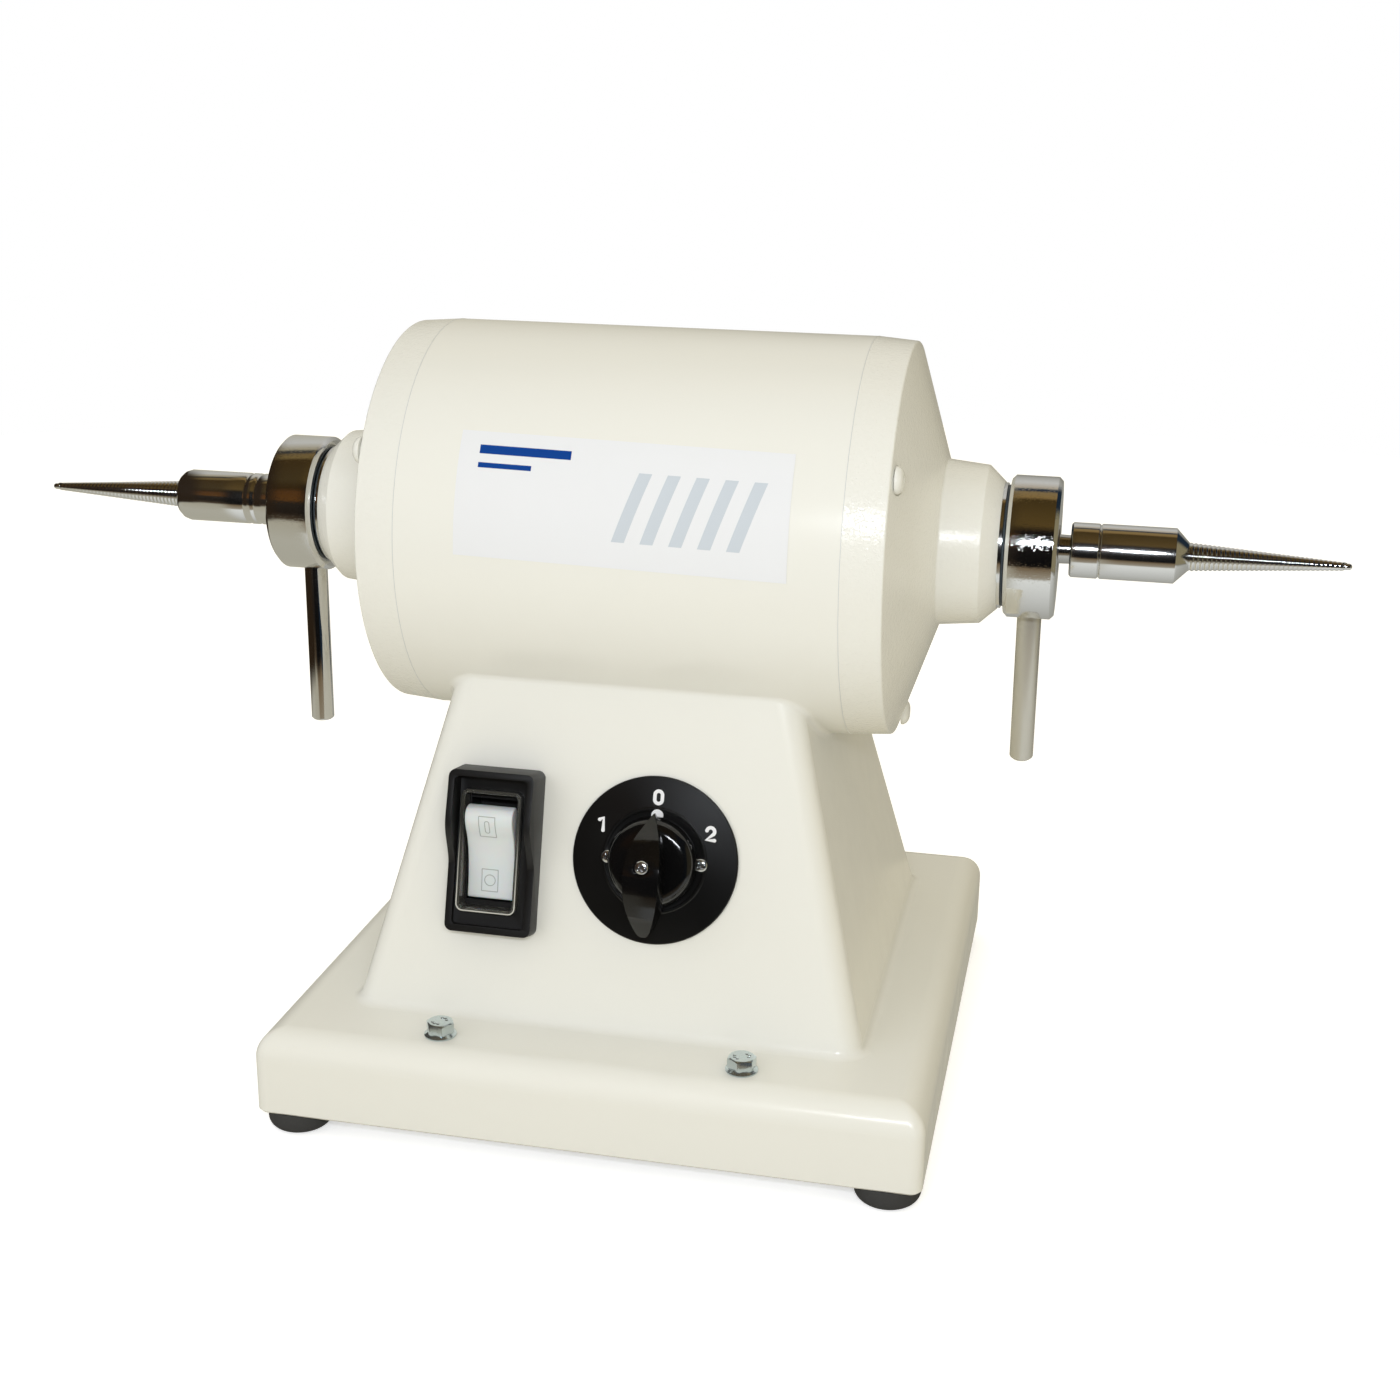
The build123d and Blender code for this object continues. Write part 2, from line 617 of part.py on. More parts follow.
def race(ring):
    """Cut the ball track into a bearing ring."""
    track = revolve(
        Pos(BEARING_X + BEARING_WIDTH / 2, BALL_PITCH_R) * Circle(BALL_R + BALL_CLEARANCE), Axis.X, 360
    )
    return ring - track


def make_inner_ring(side):
    """Bearing inner ring, pressed on the shaft."""
    return on_shaft(race(tube_x(INNER_RING_R, BEARING_BORE_R, BEARING_X, BEARING_END_X)), side)


def make_outer_ring(side):
    """Bearing outer ring, seated in the end shield."""
    return on_shaft(race(tube_x(BEARING_OUTER_R, OUTER_RING_R_IN, BEARING_X, BEARING_END_X)), side)


def ball_places():
    """Turns about the X axis for the balls of one bearing."""
    return [index * 360 / BALL_COUNT for index in range(BALL_COUNT)]


def make_balls(side):
    """The balls of one bearing."""
    ball = Pos(BEARING_X + BEARING_WIDTH / 2, BALL_PITCH_R, 0) * Sphere(BALL_R)
    return group([on_shaft(about_x(ball, angle), side) for angle in ball_places()])


def make_cage(side):
    """The ring that keeps the balls apart."""
    middle = BEARING_X + BEARING_WIDTH / 2
    cage = tube_x(CAGE_R_OUT, CAGE_R_IN, middle - CAGE_WIDTH / 2, middle + CAGE_WIDTH / 2)
    pocket = Pos(middle, BALL_PITCH_R, 0) * Rot(90, 0, 0) * Cylinder(BALL_R + BALL_CLEARANCE, 8)
    for angle in ball_places():
        cage -= about_x(pocket, angle)
    return on_shaft(cage, side)


def make_wave_spring():
    """Preload washer behind the left bearing."""
    washer = tube_x(BEARING_OUTER_R - 0.3, OUTER_RING_R_IN + 0.6, BEARING_END_X, BEARING_END_X + WAVE_SPRING_T)
    return on_shaft(washer, SIDES["left"])


def make_circlips():
    """Shaft circlips that hold the bearings, one a side, each with its gap."""
    inner = CIRCLIP_R - 3 * CIRCLIP_GROOVE - 2
    clip = tube_x(CIRCLIP_R, inner, BEARING_END_X, BEARING_END_X + CIRCLIP_T)
    gap = Pos(BEARING_END_X, 0, CIRCLIP_R) * Box(4 * CIRCLIP_T, 5, CIRCLIP_R)
    clip -= gap
    return group([on_shaft(clip, 1), on_shaft(clip, -1)])


# Release mechanism

def make_cam_sleeve(side_name):
    """Fixed sleeve in the hub: flange, guide for the ring, and the slanting slot for the lever's pin."""
    flange_x = HUB_NOSE_X
    sleeve = turned([
        (BEARING_END_X + 3 * CIRCLIP_T, SLEEVE_BORE_R),
        (BEARING_END_X + 3 * CIRCLIP_T, SLEEVE_SPIGOT_R),
        (flange_x, SLEEVE_SPIGOT_R),
        (flange_x, SLEEVE_FLANGE_R),
        (flange_x + SLEEVE_FLANGE_T, SLEEVE_FLANGE_R),
        (flange_x + SLEEVE_FLANGE_T, SLEEVE_R),
        (SLEEVE_FRONT_X, SLEEVE_R),
        (SLEEVE_FRONT_X, SLEEVE_BORE_R),
    ])
    slot_r = LEVER_PIN_R + SLOT_SIDE_CLEARANCE
    for index in range(SLOT_STEPS):
        share = index / (SLOT_STEPS - 1)
        turn = LEVER_LEAN_DEG[side_name] - share * RELEASE_TURN_DEG
        x = RING_MID_X + share * RELEASE_TRAVEL
        places = [x]
        if x + slot_r > SLEEVE_FRONT_X - SLOT_MIN_WALL:
            places.append(x + slot_r)
        for place in places:
            cutter = Cylinder(slot_r, SLEEVE_R - LEVER_PIN_END_R + 2)
            cutter = Pos(place, 0, -(SLEEVE_R + LEVER_PIN_END_R) / 2) * cutter
            sleeve -= about_x(cutter, turn)
    return on_shaft(sleeve, SIDES[side_name])


def make_seal(side):
    """Thin rubber ring that sits on the sleeve's flange, behind the release ring."""
    x = HUB_NOSE_X + SLEEVE_FLANGE_T
    return on_shaft(tube_x(SEAL_R, SEAL_R - 2 * SEAL_SECTION, x, x + SEAL_SECTION), side)


def make_release_ring(side_name):
    """Polished ring that turns on the fixed sleeve and carries the lever."""
    web_x = SLEEVE_FRONT_X + SLEEVE_CLEARANCE
    ring = turned([
        (RING_BACK_X, SLEEVE_R + SLEEVE_CLEARANCE),
        (RING_BACK_X, RING_R - RING_CHAMFER),
        (RING_BACK_X + RING_CHAMFER, RING_R),
        (RING_FRONT_X - RING_CHAMFER, RING_R),
        (RING_FRONT_X, RING_R - RING_CHAMFER),
        (RING_FRONT_X, EJECTOR_NOSE_R + SLEEVE_CLEARANCE),
        (web_x + EJECTOR_FLANGE_T + SLEEVE_CLEARANCE, EJECTOR_NOSE_R + SLEEVE_CLEARANCE),
        (web_x + EJECTOR_FLANGE_T + SLEEVE_CLEARANCE, EJECTOR_FLANGE_R + SLEEVE_CLEARANCE),
        (web_x, EJECTOR_FLANGE_R + SLEEVE_CLEARANCE),
        (web_x, SLEEVE_R + SLEEVE_CLEARANCE),
    ])
    hole = Pos(RING_MID_X, 0, -RING_R) * Cylinder(LEVER_R, RING_R)
    ring -= about_x(hole, LEVER_LEAN_DEG[side_name])
    return on_shaft(ring, SIDES[side_name])


def make_lever(side_name):
    """Round bar screwed into the ring; its inner pin runs in the sleeve's slot."""
    bar_top = SLEEVE_R + SLEEVE_CLEARANCE + 0.2
    bar = Pos(RING_MID_X, 0, -LEVER_END_RADIUS) * Cylinder(
        LEVER_R, LEVER_END_RADIUS - bar_top, align=(Align.CENTER, Align.CENTER, Align.MIN)
    )
    bar = chamfer(bar.edges().group_by(Axis.Z)[0], LEVER_CHAMFER)
    pin = Pos(RING_MID_X, 0, -bar_top) * Cylinder(
        LEVER_PIN_R, bar_top - LEVER_PIN_END_R, align=(Align.CENTER, Align.CENTER, Align.MIN)
    )
    return on_shaft(about_x(bar + pin, LEVER_LEAN_DEG[side_name]), SIDES[side_name])


def make_ejector(side):
    """Stepped disc behind the ring's web that pushes the mandrel off its cone."""
    flange_x = SLEEVE_FRONT_X + SLEEVE_CLEARANCE
    disc = turned([
        (flange_x, EJECTOR_BORE_R),
        (flange_x, EJECTOR_FLANGE_R),
        (flange_x + EJECTOR_FLANGE_T, EJECTOR_FLANGE_R),
        (flange_x + EJECTOR_FLANGE_T, EJECTOR_NOSE_R),
        (EJECTOR_NOSE_X, EJECTOR_NOSE_R),
        (EJECTOR_NOSE_X, EJECTOR_BORE_R),
    ])
    return on_shaft(disc, side)


# Polishing mandrels

def shaft_cone_r(x):
    """Radius of the shaft's end cone at a place along it."""
    share = (x - SHAFT_CONE_X) / (SHAFT_CONE_END_X - SHAFT_CONE_X)
    return SHAFT_CONE_R + share * (SHAFT_CONE_END_R - SHAFT_CONE_R)


def make_mandrel(side_name):
    """Collar with turned grooves and a long tapering nose; its socket fits the shaft's cone."""
    groove_points = []
    for x in MANDREL_GROOVES[side_name]:
        groove_points += [
            (x - MANDREL_GROOVE_DEPTH, MANDREL_R),
            (x, MANDREL_R - MANDREL_GROOVE_DEPTH),
            (x + MANDREL_GROOVE_DEPTH, MANDREL_R),
        ]
    socket_end = SHAFT_CONE_END_X + SOCKET_END_GAP
    outline = [
        (MANDREL_BACK_X, shaft_cone_r(MANDREL_BACK_X) + TAPER_FIT),
        (MANDREL_BACK_X, MANDREL_R - MANDREL_EDGE),
        (MANDREL_BACK_X + MANDREL_EDGE, MANDREL_R),
        *groove_points,
        (MANDREL_FRONT_X - MANDREL_EDGE, MANDREL_R),
        (MANDREL_FRONT_X, MANDREL_R - MANDREL_EDGE),
        (THREAD_FOOT_X, THREAD_FOOT_R),
        (THREAD_TIP_X - THREAD_TIP_R, THREAD_TIP_R),
        (THREAD_TIP_X, THREAD_TIP_R / 2),
        (THREAD_TIP_X, 0),
        (socket_end, 0),
        (socket_end, shaft_cone_r(SHAFT_CONE_END_X) + TAPER_FIT),
        (SHAFT_CONE_END_X, shaft_cone_r(SHAFT_CONE_END_X) + TAPER_FIT),
    ]
    return on_shaft(turned(outline), SIDES[side_name])


# Dial, cam switch and knob

def make_dial():
    """Round plate on the front face, drilled for its screws and the spindle."""
    dial = Cylinder(DIAL_R, DIAL_T, align=(Align.CENTER, Align.CENTER, Align.MIN))
    dial = chamfer(dial.edges().group_by(Axis.Z)[-1], 0.4)
    dial -= Cylinder(SPINDLE_HOLE_R, 4 * DIAL_T)
    for side in (-1, 1):
        dial -= Pos(side * DIAL_SCREW_OFFSET, 0, 0) * Cylinder(DIAL_SCREW_R + SCREW_CLEARANCE, 4 * DIAL_T)
    return DIAL_FRAME * dial


def make_dial_screws():
    """Two pan-headed screws through dial and face into the cam switch."""
    screw = button_screw(DIAL_SCREW_HEAD_R, DIAL_SCREW_HEAD_H, DIAL_SCREW_R, DIAL_SCREW_LENGTH)
    return group([DIAL_FRAME * Pos(side * DIAL_SCREW_OFFSET, 0, DIAL_T) * screw for side in (-1, 1)])


def make_cam_switch():
    """Moulded switch block behind the face, in two decks."""
    block = Box(CAM_BODY_SIZE, CAM_BODY_SIZE, CAM_BODY_STEP, align=(Align.CENTER, Align.CENTER, Align.MAX))
    decks = Box(
        CAM_BODY_SIZE - 8, CAM_BODY_SIZE - 4, CAM_BODY_DEPTH, align=(Align.CENTER, Align.CENTER, Align.MAX)
    )
    body = block + decks
    for depth in (14, 28):
        groove = Box(CAM_BODY_SIZE, 2 * CAM_BODY_SIZE, 1.5) - Box(CAM_BODY_SIZE - 11, CAM_BODY_SIZE - 7, 1.5)
        body -= Pos(0, 0, -depth) * groove
    body -= Cylinder(SPINDLE_R + SPINDLE_CLEARANCE, 2 * CAM_BODY_STEP + 8)
    for side in (-1, 1):
        hole = Cylinder(DIAL_SCREW_R, DIAL_SCREW_LENGTH, align=(Align.CENTER, Align.CENTER, Align.MAX))
        body -= Pos(side * DIAL_SCREW_OFFSET, 0, 0) * hole
    return DIAL_FRAME * Pos(0, 0, -WALL) * body


def make_spindle():
    """Switch spindle that turns with the knob."""
    bottom = -WALL - CAM_BODY_STEP
    spindle = Pos(0, 0, bottom) * Cylinder(
        SPINDLE_R, SPINDLE_TOP - bottom, align=(Align.CENTER, Align.CENTER, Align.MIN)
    )
    spindle -= Pos(0, 0, SPINDLE_TOP) * Cylinder(
        KNOB_SCREW_R, 10, align=(Align.CENTER, Align.CENTER, Align.MAX)
    )
    return DIAL_FRAME * spindle


def grip_solid():
    """The knob's grip: a lens in plan, arched from the side, low at its nose."""
    middle = (GRIP_NOSE - GRIP_TAIL) / 2
    right_edge = ThreePointArc((0, GRIP_NOSE), (GRIP_HALF_WIDTH, middle), (0, -GRIP_TAIL))
    left_edge = ThreePointArc((0, -GRIP_TAIL), (-GRIP_HALF_WIDTH, middle), (0, GRIP_NOSE))
    plan = extrude(make_face([right_edge, left_edge]), GRIP_TOP + 2)
    crown = Spline(
        (GRIP_NOSE + 0.5, KNOB_FLOOR + 2.5), (GRIP_NOSE * 0.78, 12.0), (0, GRIP_TOP),
        (-GRIP_TAIL * 0.55, 22.0), (-GRIP_TAIL - 0.5, 13.0),
    )
    under = Polyline(
        (-GRIP_TAIL - 0.5, 13.0), (-GRIP_TAIL - 0.5, 8.5), (-KNOB_R, KNOB_FLOOR + 1.5),
        (GRIP_NOSE + 0.5, KNOB_FLOOR + 1.5), (GRIP_NOSE + 0.5, KNOB_FLOOR + 2.5),
    )
    side_view = extrude(Plane.YZ * make_face([crown, under]), KNOB_R, both=True)
    return plan & side_view


def make_knob():
    """Round skirt with a lens-shaped grip, bored for the spindle and its screw."""
    skirt = Pos(0, 0, KNOB_FLOOR) * Cone(
        KNOB_R, KNOB_TOP_R, KNOB_SKIRT_TOP - KNOB_FLOOR, align=(Align.CENTER, Align.CENTER, Align.MIN)
    )
    skirt = fillet(skirt.edges().group_by(Axis.Z)[-1], 1.5)
    knob = skirt + grip_solid()
    knob -= Cylinder(SPINDLE_R, SPINDLE_TOP, align=(Align.CENTER, Align.CENTER, Align.MIN))
    knob -= Cylinder(KNOB_SCREW_R + SCREW_CLEARANCE, 4 * GRIP_TOP)
    knob -= Pos(0, 0, KNOB_SCREW_SEAT) * Cylinder(
        KNOB_SCREW_HEAD_R + SCREW_CLEARANCE, 20, align=(Align.CENTER, Align.CENTER, Align.MIN)
    )
    return DIAL_FRAME * knob


def make_knob_screw():
    """Screw down the middle of the knob into the spindle."""
    screw = button_screw(KNOB_SCREW_HEAD_R, KNOB_SCREW_HEAD_H, KNOB_SCREW_R, KNOB_SCREW_SEAT - SPINDLE_TOP + 8)
    return DIAL_FRAME * Pos(0, 0, KNOB_SCREW_SEAT) * screw


# Rocker switch

def make_bezel():
    """Black surround with draft, raised round its upper half as a finger guard."""
    outline = RectangleRounded(BEZEL_WIDTH, BEZEL_LENGTH, BEZEL_CORNER_R)
    block = extrude(outline, BEZEL_HIGH, taper=BEZEL_DRAFT_DEG)
    step = BEZEL_HIGH - BEZEL_LOW
    low_side = BEZEL_LENGTH
    cut_face = make_face([
        Polyline((-low_side, BEZEL_LOW), (-12, BEZEL_LOW)),
        Spline((-12, BEZEL_LOW), (-3, BEZEL_LOW + step / 2), (6, BEZEL_HIGH), tangents=((1, 0), (1, 0))),
        Polyline((6, BEZEL_HIGH), (6, 3 * BEZEL_HIGH), (-low_side, 3 * BEZEL_HIGH), (-low_side, BEZEL_LOW)),
    ])
    block -= extrude(Plane.YZ * cut_face, BEZEL_WIDTH, both=True)
    recess = extrude(
        RectangleRounded(BEZEL_WIDTH - 2 * BEZEL_RIM - 4, BEZEL_LENGTH - 2 * BEZEL_RIM - 4, 2.0), BEZEL_HIGH
    )
    block -= Pos(0, 0, BEZEL_LOW) * recess
    opening = RectangleRounded(SPLASH_WIDTH, SPLASH_LENGTH, SPLASH_CORNER_R)
    block -= extrude(opening, 3 * BEZEL_HIGH, both=True)
    return ROCKER_FRAME * block


def make_splash_frame():
    """Clear rim round the rocker."""
    outer = RectangleRounded(SPLASH_WIDTH, SPLASH_LENGTH, SPLASH_CORNER_R)
    inner = RectangleRounded(SPLASH_WIDTH - 2 * SPLASH_WALL, SPLASH_LENGTH - 2 * SPLASH_WALL, SPLASH_INNER_R)
    frame = extrude(outer - inner, SPLASH_TOP)
    frame = fillet(frame.edges().group_by(Axis.Z)[-1], SPLASH_WALL * 0.35)
    return ROCKER_FRAME * frame


def make_rocker_body():
    """Switch block behind the face, with its flange, hollow top and terminals."""
    inner_width = SPLASH_WIDTH - 2 * SPLASH_WALL
    inner_length = SPLASH_LENGTH - 2 * SPLASH_WALL
    flange = extrude(RectangleRounded(inner_width - 0.2, inner_length - 0.2, SPLASH_INNER_R), 1.5)
    block = Box(
        ROCKER_BODY_WIDTH, ROCKER_BODY_LENGTH, ROCKER_BODY_DEPTH, align=(Align.CENTER, Align.CENTER, Align.MAX)
    )
    body = flange + block
    pocket = Box(ROCKER_WIDTH + 2 * ROCKER_SIDE_GAP, ROCKER_LENGTH + 2 * ROCKER_END_GAP, 22)
    body -= pocket
    for x in (-5, 5):
        for y in (-14, 0, 14):
            tab = Box(SWITCH_TAB_T, SWITCH_TAB_WIDTH, SWITCH_TAB_LENGTH, align=(Align.CENTER, Align.CENTER, Align.MAX))
            body += Pos(x, y, -ROCKER_BODY_DEPTH) * tab
    return ROCKER_FRAME * body


def make_rocker():
    """White rocker with a hollowed face, stored with its lower end pressed."""
    half = ROCKER_LENGTH / 2
    top = 8.0
    face = ThreePointArc((-half, top), (0, top - 3.2), (half, top))
    side_view = make_face([
        face,
        Polyline((half, top), (half, top - 4), (7, -8), (-7, -8), (-half, top - 4), (-half, top)),
    ])
    rocker = extrude(Plane.YZ * side_view, ROCKER_WIDTH / 2, both=True)
    return ROCKER_FRAME * Rot(ROCKER_TILT_DEG, 0, 0) * rocker


# Feet, cover and base fasteners

def make_feet():
    """Four round rubber feet with rounded lower edges and a recess for the screw."""
    foot = Cylinder(FOOT_R, FOOT_HEIGHT, align=(Align.CENTER, Align.CENTER, Align.MIN))
    foot = fillet(foot.edges().group_by(Axis.Z)[0], FOOT_EDGE_R)
    foot -= Cylinder(FOOT_RECESS_R, 2 * (FOOT_HEIGHT - FOOT_SEAT_WEB))
    foot -= Cylinder(FOOT_SCREW_R + SCREW_CLEARANCE, 4 * FOOT_HEIGHT)
    return group([Pos(x, y, 0) * foot for x, y in corners(FOOT_X, FOOT_Y)])


def make_foot_screws():
    """Screws up through the feet into the corner pads."""
    screw = button_screw(FOOT_SCREW_HEAD_R, FOOT_SCREW_HEAD_H, FOOT_SCREW_R, FOOT_SCREW_LENGTH)
    seat = FOOT_HEIGHT - FOOT_SEAT_WEB
    return group([Pos(x, y, seat) * Rot(180, 0, 0) * screw for x, y in corners(FOOT_X, FOOT_Y)])


def make_bottom_cover():
    """Sheet-steel cover under the skirt, notched round the corner pads."""
    inset = WALL + COVER_CLEARANCE
    sheet = Box(BASE_WIDTH - 2 * inset, BASE_DEPTH - 2 * inset, COVER_T, align=(Align.CENTER, Align.CENTER, Align.MIN))
    cover = Pos(0, 0, COVER_BOTTOM) * sheet
    for x, y in corners(FOOT_X, FOOT_Y):
        cover -= post(x, y, COVER_BOTTOM - 1, COVER_TOP + 1, PAD_R + COVER_CLEARANCE)
        outer_x = math.copysign(FOOT_X + PAD_R, x)
        outer_y = math.copysign(FOOT_Y + PAD_R, y)
        cover -= Pos(outer_x, outer_y, COVER_BOTTOM) * Box(3 * PAD_R, 3 * PAD_R, 4 * COVER_T)
    for x, y in corners(BOLT_X, BOLT_Y):
        cover -= post(x, y, COVER_BOTTOM - 1, COVER_TOP + 1, BOLT_R + SCREW_CLEARANCE)
    for step in range(VENT_COUNT):
        vent = extrude(SlotOverall(VENT_LENGTH, VENT_WIDTH), 4 * COVER_T, both=True)
        y = VENT_PITCH * (step - (VENT_COUNT - 1) / 2) - VENT_SHARE * BASE_DEPTH
        cover -= Pos(0, y, COVER_BOTTOM) * vent
    return cover


def make_base_bolts():
    """Hexagon flange bolts down through the base into the cover's nuts."""
    shank_length = BASE_TOP - COVER_BOTTOM + NUT_H
    bolt = hexagon(BOLT_HEX_AF, BOLT_FLANGE_H + BOLT_HEX_H)
    bolt = chamfer(bolt.edges().group_by(Axis.Z)[-1], 0.6)
    bolt += Cylinder(BOLT_FLANGE_R, BOLT_FLANGE_H, align=(Align.CENTER, Align.CENTER, Align.MIN))
    bolt += Cylinder(BOLT_R, shank_length, align=(Align.CENTER, Align.CENTER, Align.MAX))
    return group([Pos(x, y, BASE_TOP) * bolt for x, y in corners(BOLT_X, BOLT_Y)])


def make_base_nuts():
    """Nuts under the cover."""
    nut = hexagon(BOLT_HEX_AF, NUT_H) - Cylinder(BOLT_R, 3 * NUT_H)
    return group([Pos(x, y, COVER_BOTTOM - NUT_H) * nut for x, y in corners(BOLT_X, BOLT_Y)])


# Inside the pedestal

def make_capacitor():
    """Motor run capacitor lying on the cover."""
    can = Pos(CAPACITOR_X, CAPACITOR_Y, COVER_TOP + CLIP_T + CAPACITOR_R)
    body = Rot(90, 0, 0) * Cylinder(CAPACITOR_R, CAPACITOR_LENGTH)
    body = fillet(body.edges(), 1.5)
    for x in (-6, 6):
        tab = Pos(x, -CAPACITOR_LENGTH / 2, 0) * Box(SWITCH_TAB_T, 2 * SWITCH_TAB_LENGTH, SWITCH_TAB_WIDTH)
        body += tab
    return can * body


def make_capacitor_clip():
    """Sheet saddle round the capacitor, with feet on the cover."""
    width = CLIP_WIDTH
    centre_z = COVER_TOP + CLIP_T + CAPACITOR_R
    band = Rot(90, 0, 0) * (Cylinder(CAPACITOR_R + CLIP_T, width) - Cylinder(CAPACITOR_R, 2 * width))
    band = Pos(CAPACITOR_X, CAPACITOR_Y, centre_z) * band
    base = Pos(CAPACITOR_X, CAPACITOR_Y, COVER_TOP) * Box(
        2 * CAPACITOR_R + 24, width, CLIP_T, align=(Align.CENTER, Align.CENTER, Align.MIN)
    )
    return band + base


def make_terminal_block():
    """Mains terminal block on the cover."""
    length, depth, height = TERMINAL_SIZE
    block = Box(length, depth, height, align=(Align.CENTER, Align.CENTER, Align.MIN))
    pitch = length / TERMINAL_POLES
    for index in range(TERMINAL_POLES):
        x = (index + 0.5) * pitch - length / 2
        block -= Pos(x, 0, height) * Cylinder(2.6, 12)
        block -= Pos(x, 0, height / 2 - 2) * Rot(90, 0, 0) * Cylinder(2.0, 2 * depth)
    return Pos(TERMINAL_X, TERMINAL_Y, COVER_TOP) * block


def make_earth_screw():
    """Earth stud with its nut on the cover."""
    nut = hexagon(8.0, 3.2)
    stud = Cylinder(2.5, 14, align=(Align.CENTER, Align.CENTER, Align.MIN))
    return Pos(EARTH_X, EARTH_Y, COVER_TOP) * (nut + stud)


# Cable gland

def gland_place(y):
    """A frame on the gland's axis, with +Z pointing out of the back."""
    return Pos(GLAND_X, y, GLAND_Z) * Rot(-90, 0, 0)


def make_gland_body():
    """Threaded body with its hexagon against the boss."""
    length_in = gland_boss_length() + GLAND_LOCKNUT_T + 2
    body = hexagon(GLAND_HEX_AF, GLAND_HEX_T)
    body += Cylinder(GLAND_THREAD_R - 0.4, GLAND_HEX_T + GLAND_NECK_LENGTH, align=(Align.CENTER, Align.CENTER, Align.MIN))
    body += Cylinder(GLAND_THREAD_R, length_in, align=(Align.CENTER, Align.CENTER, Align.MAX))
    body -= Cylinder(GLAND_BORE_R + 0.9, 4 * length_in)
    seat = Pos(0, 0, GLAND_HEX_T + GLAND_NECK_LENGTH - GLAND_SEAL_LENGTH + 2)
    body -= seat * Cylinder(GLAND_THREAD_R - 1.9, 2 * GLAND_SEAL_LENGTH, align=(Align.CENTER, Align.CENTER, Align.MIN))
    return gland_place(GLAND_FACE_Y) * body


def make_gland_seal():
    """Rubber bush that grips the cable."""
    seal = Cylinder(GLAND_THREAD_R - 2.0, GLAND_SEAL_LENGTH, align=(Align.CENTER, Align.CENTER, Align.MIN))
    seal -= Cylinder(GLAND_BORE_R, 4 * GLAND_SEAL_LENGTH)
    return gland_place(GLAND_FACE_Y + GLAND_HEX_T + GLAND_NECK_LENGTH - GLAND_SEAL_LENGTH + 2) * seal


def make_gland_nut():
    """Domed nut that closes on the seal."""
    nut = hexagon(GLAND_HEX_AF, GLAND_NUT_LENGTH)
    dome = Cylinder(GLAND_HEX_AF * 0.56, GLAND_NUT_LENGTH, align=(Align.CENTER, Align.CENTER, Align.MIN))
    dome = fillet(dome.edges().group_by(Axis.Z)[-1], 5.0)
    nut = nut & dome
    thread = Cylinder(GLAND_THREAD_R - 0.2, GLAND_NECK_LENGTH + 2.6, align=(Align.CENTER, Align.CENTER, Align.MIN))
    nut -= thread
    nut -= Cylinder(GLAND_BORE_R + 0.6, 4 * GLAND_NUT_LENGTH)
    return gland_place(GLAND_FACE_Y + GLAND_HEX_T + 0.4) * nut


def make_gland_locknut():
    """Thin nut that holds the gland from inside."""
    inner_face = GLAND_FACE_Y - gland_boss_length()
    nut = hexagon(GLAND_HEX_AF, GLAND_LOCKNUT_T) - Cylinder(GLAND_THREAD_R, 4 * GLAND_LOCKNUT_T)
    return gland_place(inner_face - GLAND_LOCKNUT_T) * nut


# Build and write every node

def build_nodes():
    """Every node's name with its solid or group of solids."""
    nodes = {
        "motor_housing": make_housing(),
        "stator_core": make_stator_core(),
        "stator_windings": make_windings(),
        "rotor_core": make_rotor_core(),
        "rotor_end_rings": make_rotor_end_rings(),
        "motor_shaft": make_shaft(),
        "bearing_wave_spring": make_wave_spring(),
        "shaft_circlips": make_circlips(),
        "dial_plate": make_dial(),
        "dial_screws": make_dial_screws(),
        "cam_switch_body": make_cam_switch(),
        "switch_spindle": make_spindle(),
        "switch_knob": make_knob(),
        "knob_screw": make_knob_screw(),
        "rocker_bezel": make_bezel(),
        "rocker_splash_frame": make_splash_frame(),
        "rocker_switch_body": make_rocker_body(),
        "rocker": make_rocker(),
        "rubber_feet": make_feet(),
        "foot_screws": make_foot_screws(),
        "bottom_cover": make_bottom_cover(),
        "base_bolts": make_base_bolts(),
        "base_nuts": make_base_nuts(),
        "run_capacitor": make_capacitor(),
        "capacitor_clip": make_capacitor_clip(),
        "terminal_block": make_terminal_block(),
        "earth_screw": make_earth_screw(),
        "cable_gland_body": make_gland_body(),
        "cable_gland_seal": make_gland_seal(),
        "cable_gland_nut": make_gland_nut(),
        "cable_gland_locknut": make_gland_locknut(),
    }
    for name, side in SIDES.items():
        nodes["end_shield_" + name] = make_end_shield(name)
        nodes["end_shield_screws_" + name] = make_shield_screws(name)
        nodes["bearing_inner_ring_" + name] = make_inner_ring(side)
        nodes["bearing_outer_ring_" + name] = make_outer_ring(side)
        nodes["bearing_balls_" + name] = make_balls(side)
        nodes["bearing_cage_" + name] = make_cage(side)
        nodes["cam_sleeve_" + name] = make_cam_sleeve(name)
        nodes["sleeve_seal_" + name] = make_seal(side)
        nodes["release_ring_" + name] = make_release_ring(name)
        nodes["release_lever_" + name] = make_lever(name)
        nodes["ejector_disc_" + name] = make_ejector(side)
        nodes["polishing_mandrel_" + name] = make_mandrel(name)
    return nodes


def main():
    """Build the model and write one STEP file for each node."""
    os.makedirs("parts", exist_ok=True)
    for name, shape in build_nodes().items():
        export_step(shape, os.path.join("parts", name + ".step"))


if __name__ == "__main__":
    main()
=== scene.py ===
"""Looks of a bench polishing motor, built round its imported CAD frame.

Sizes are in millimetres and Blender's unit is the metre.  +X runs along the spindles to the right,
+Y into the depth of the bench and +Z up; the origin lies on the bench under the middle of the machine.
"""

from __future__ import annotations

import json
import logging
import math
from collections.abc import Sequence
from dataclasses import dataclass, field
from enum import Enum
from types import TracebackType

import bpy
from mathutils import Matrix, Vector

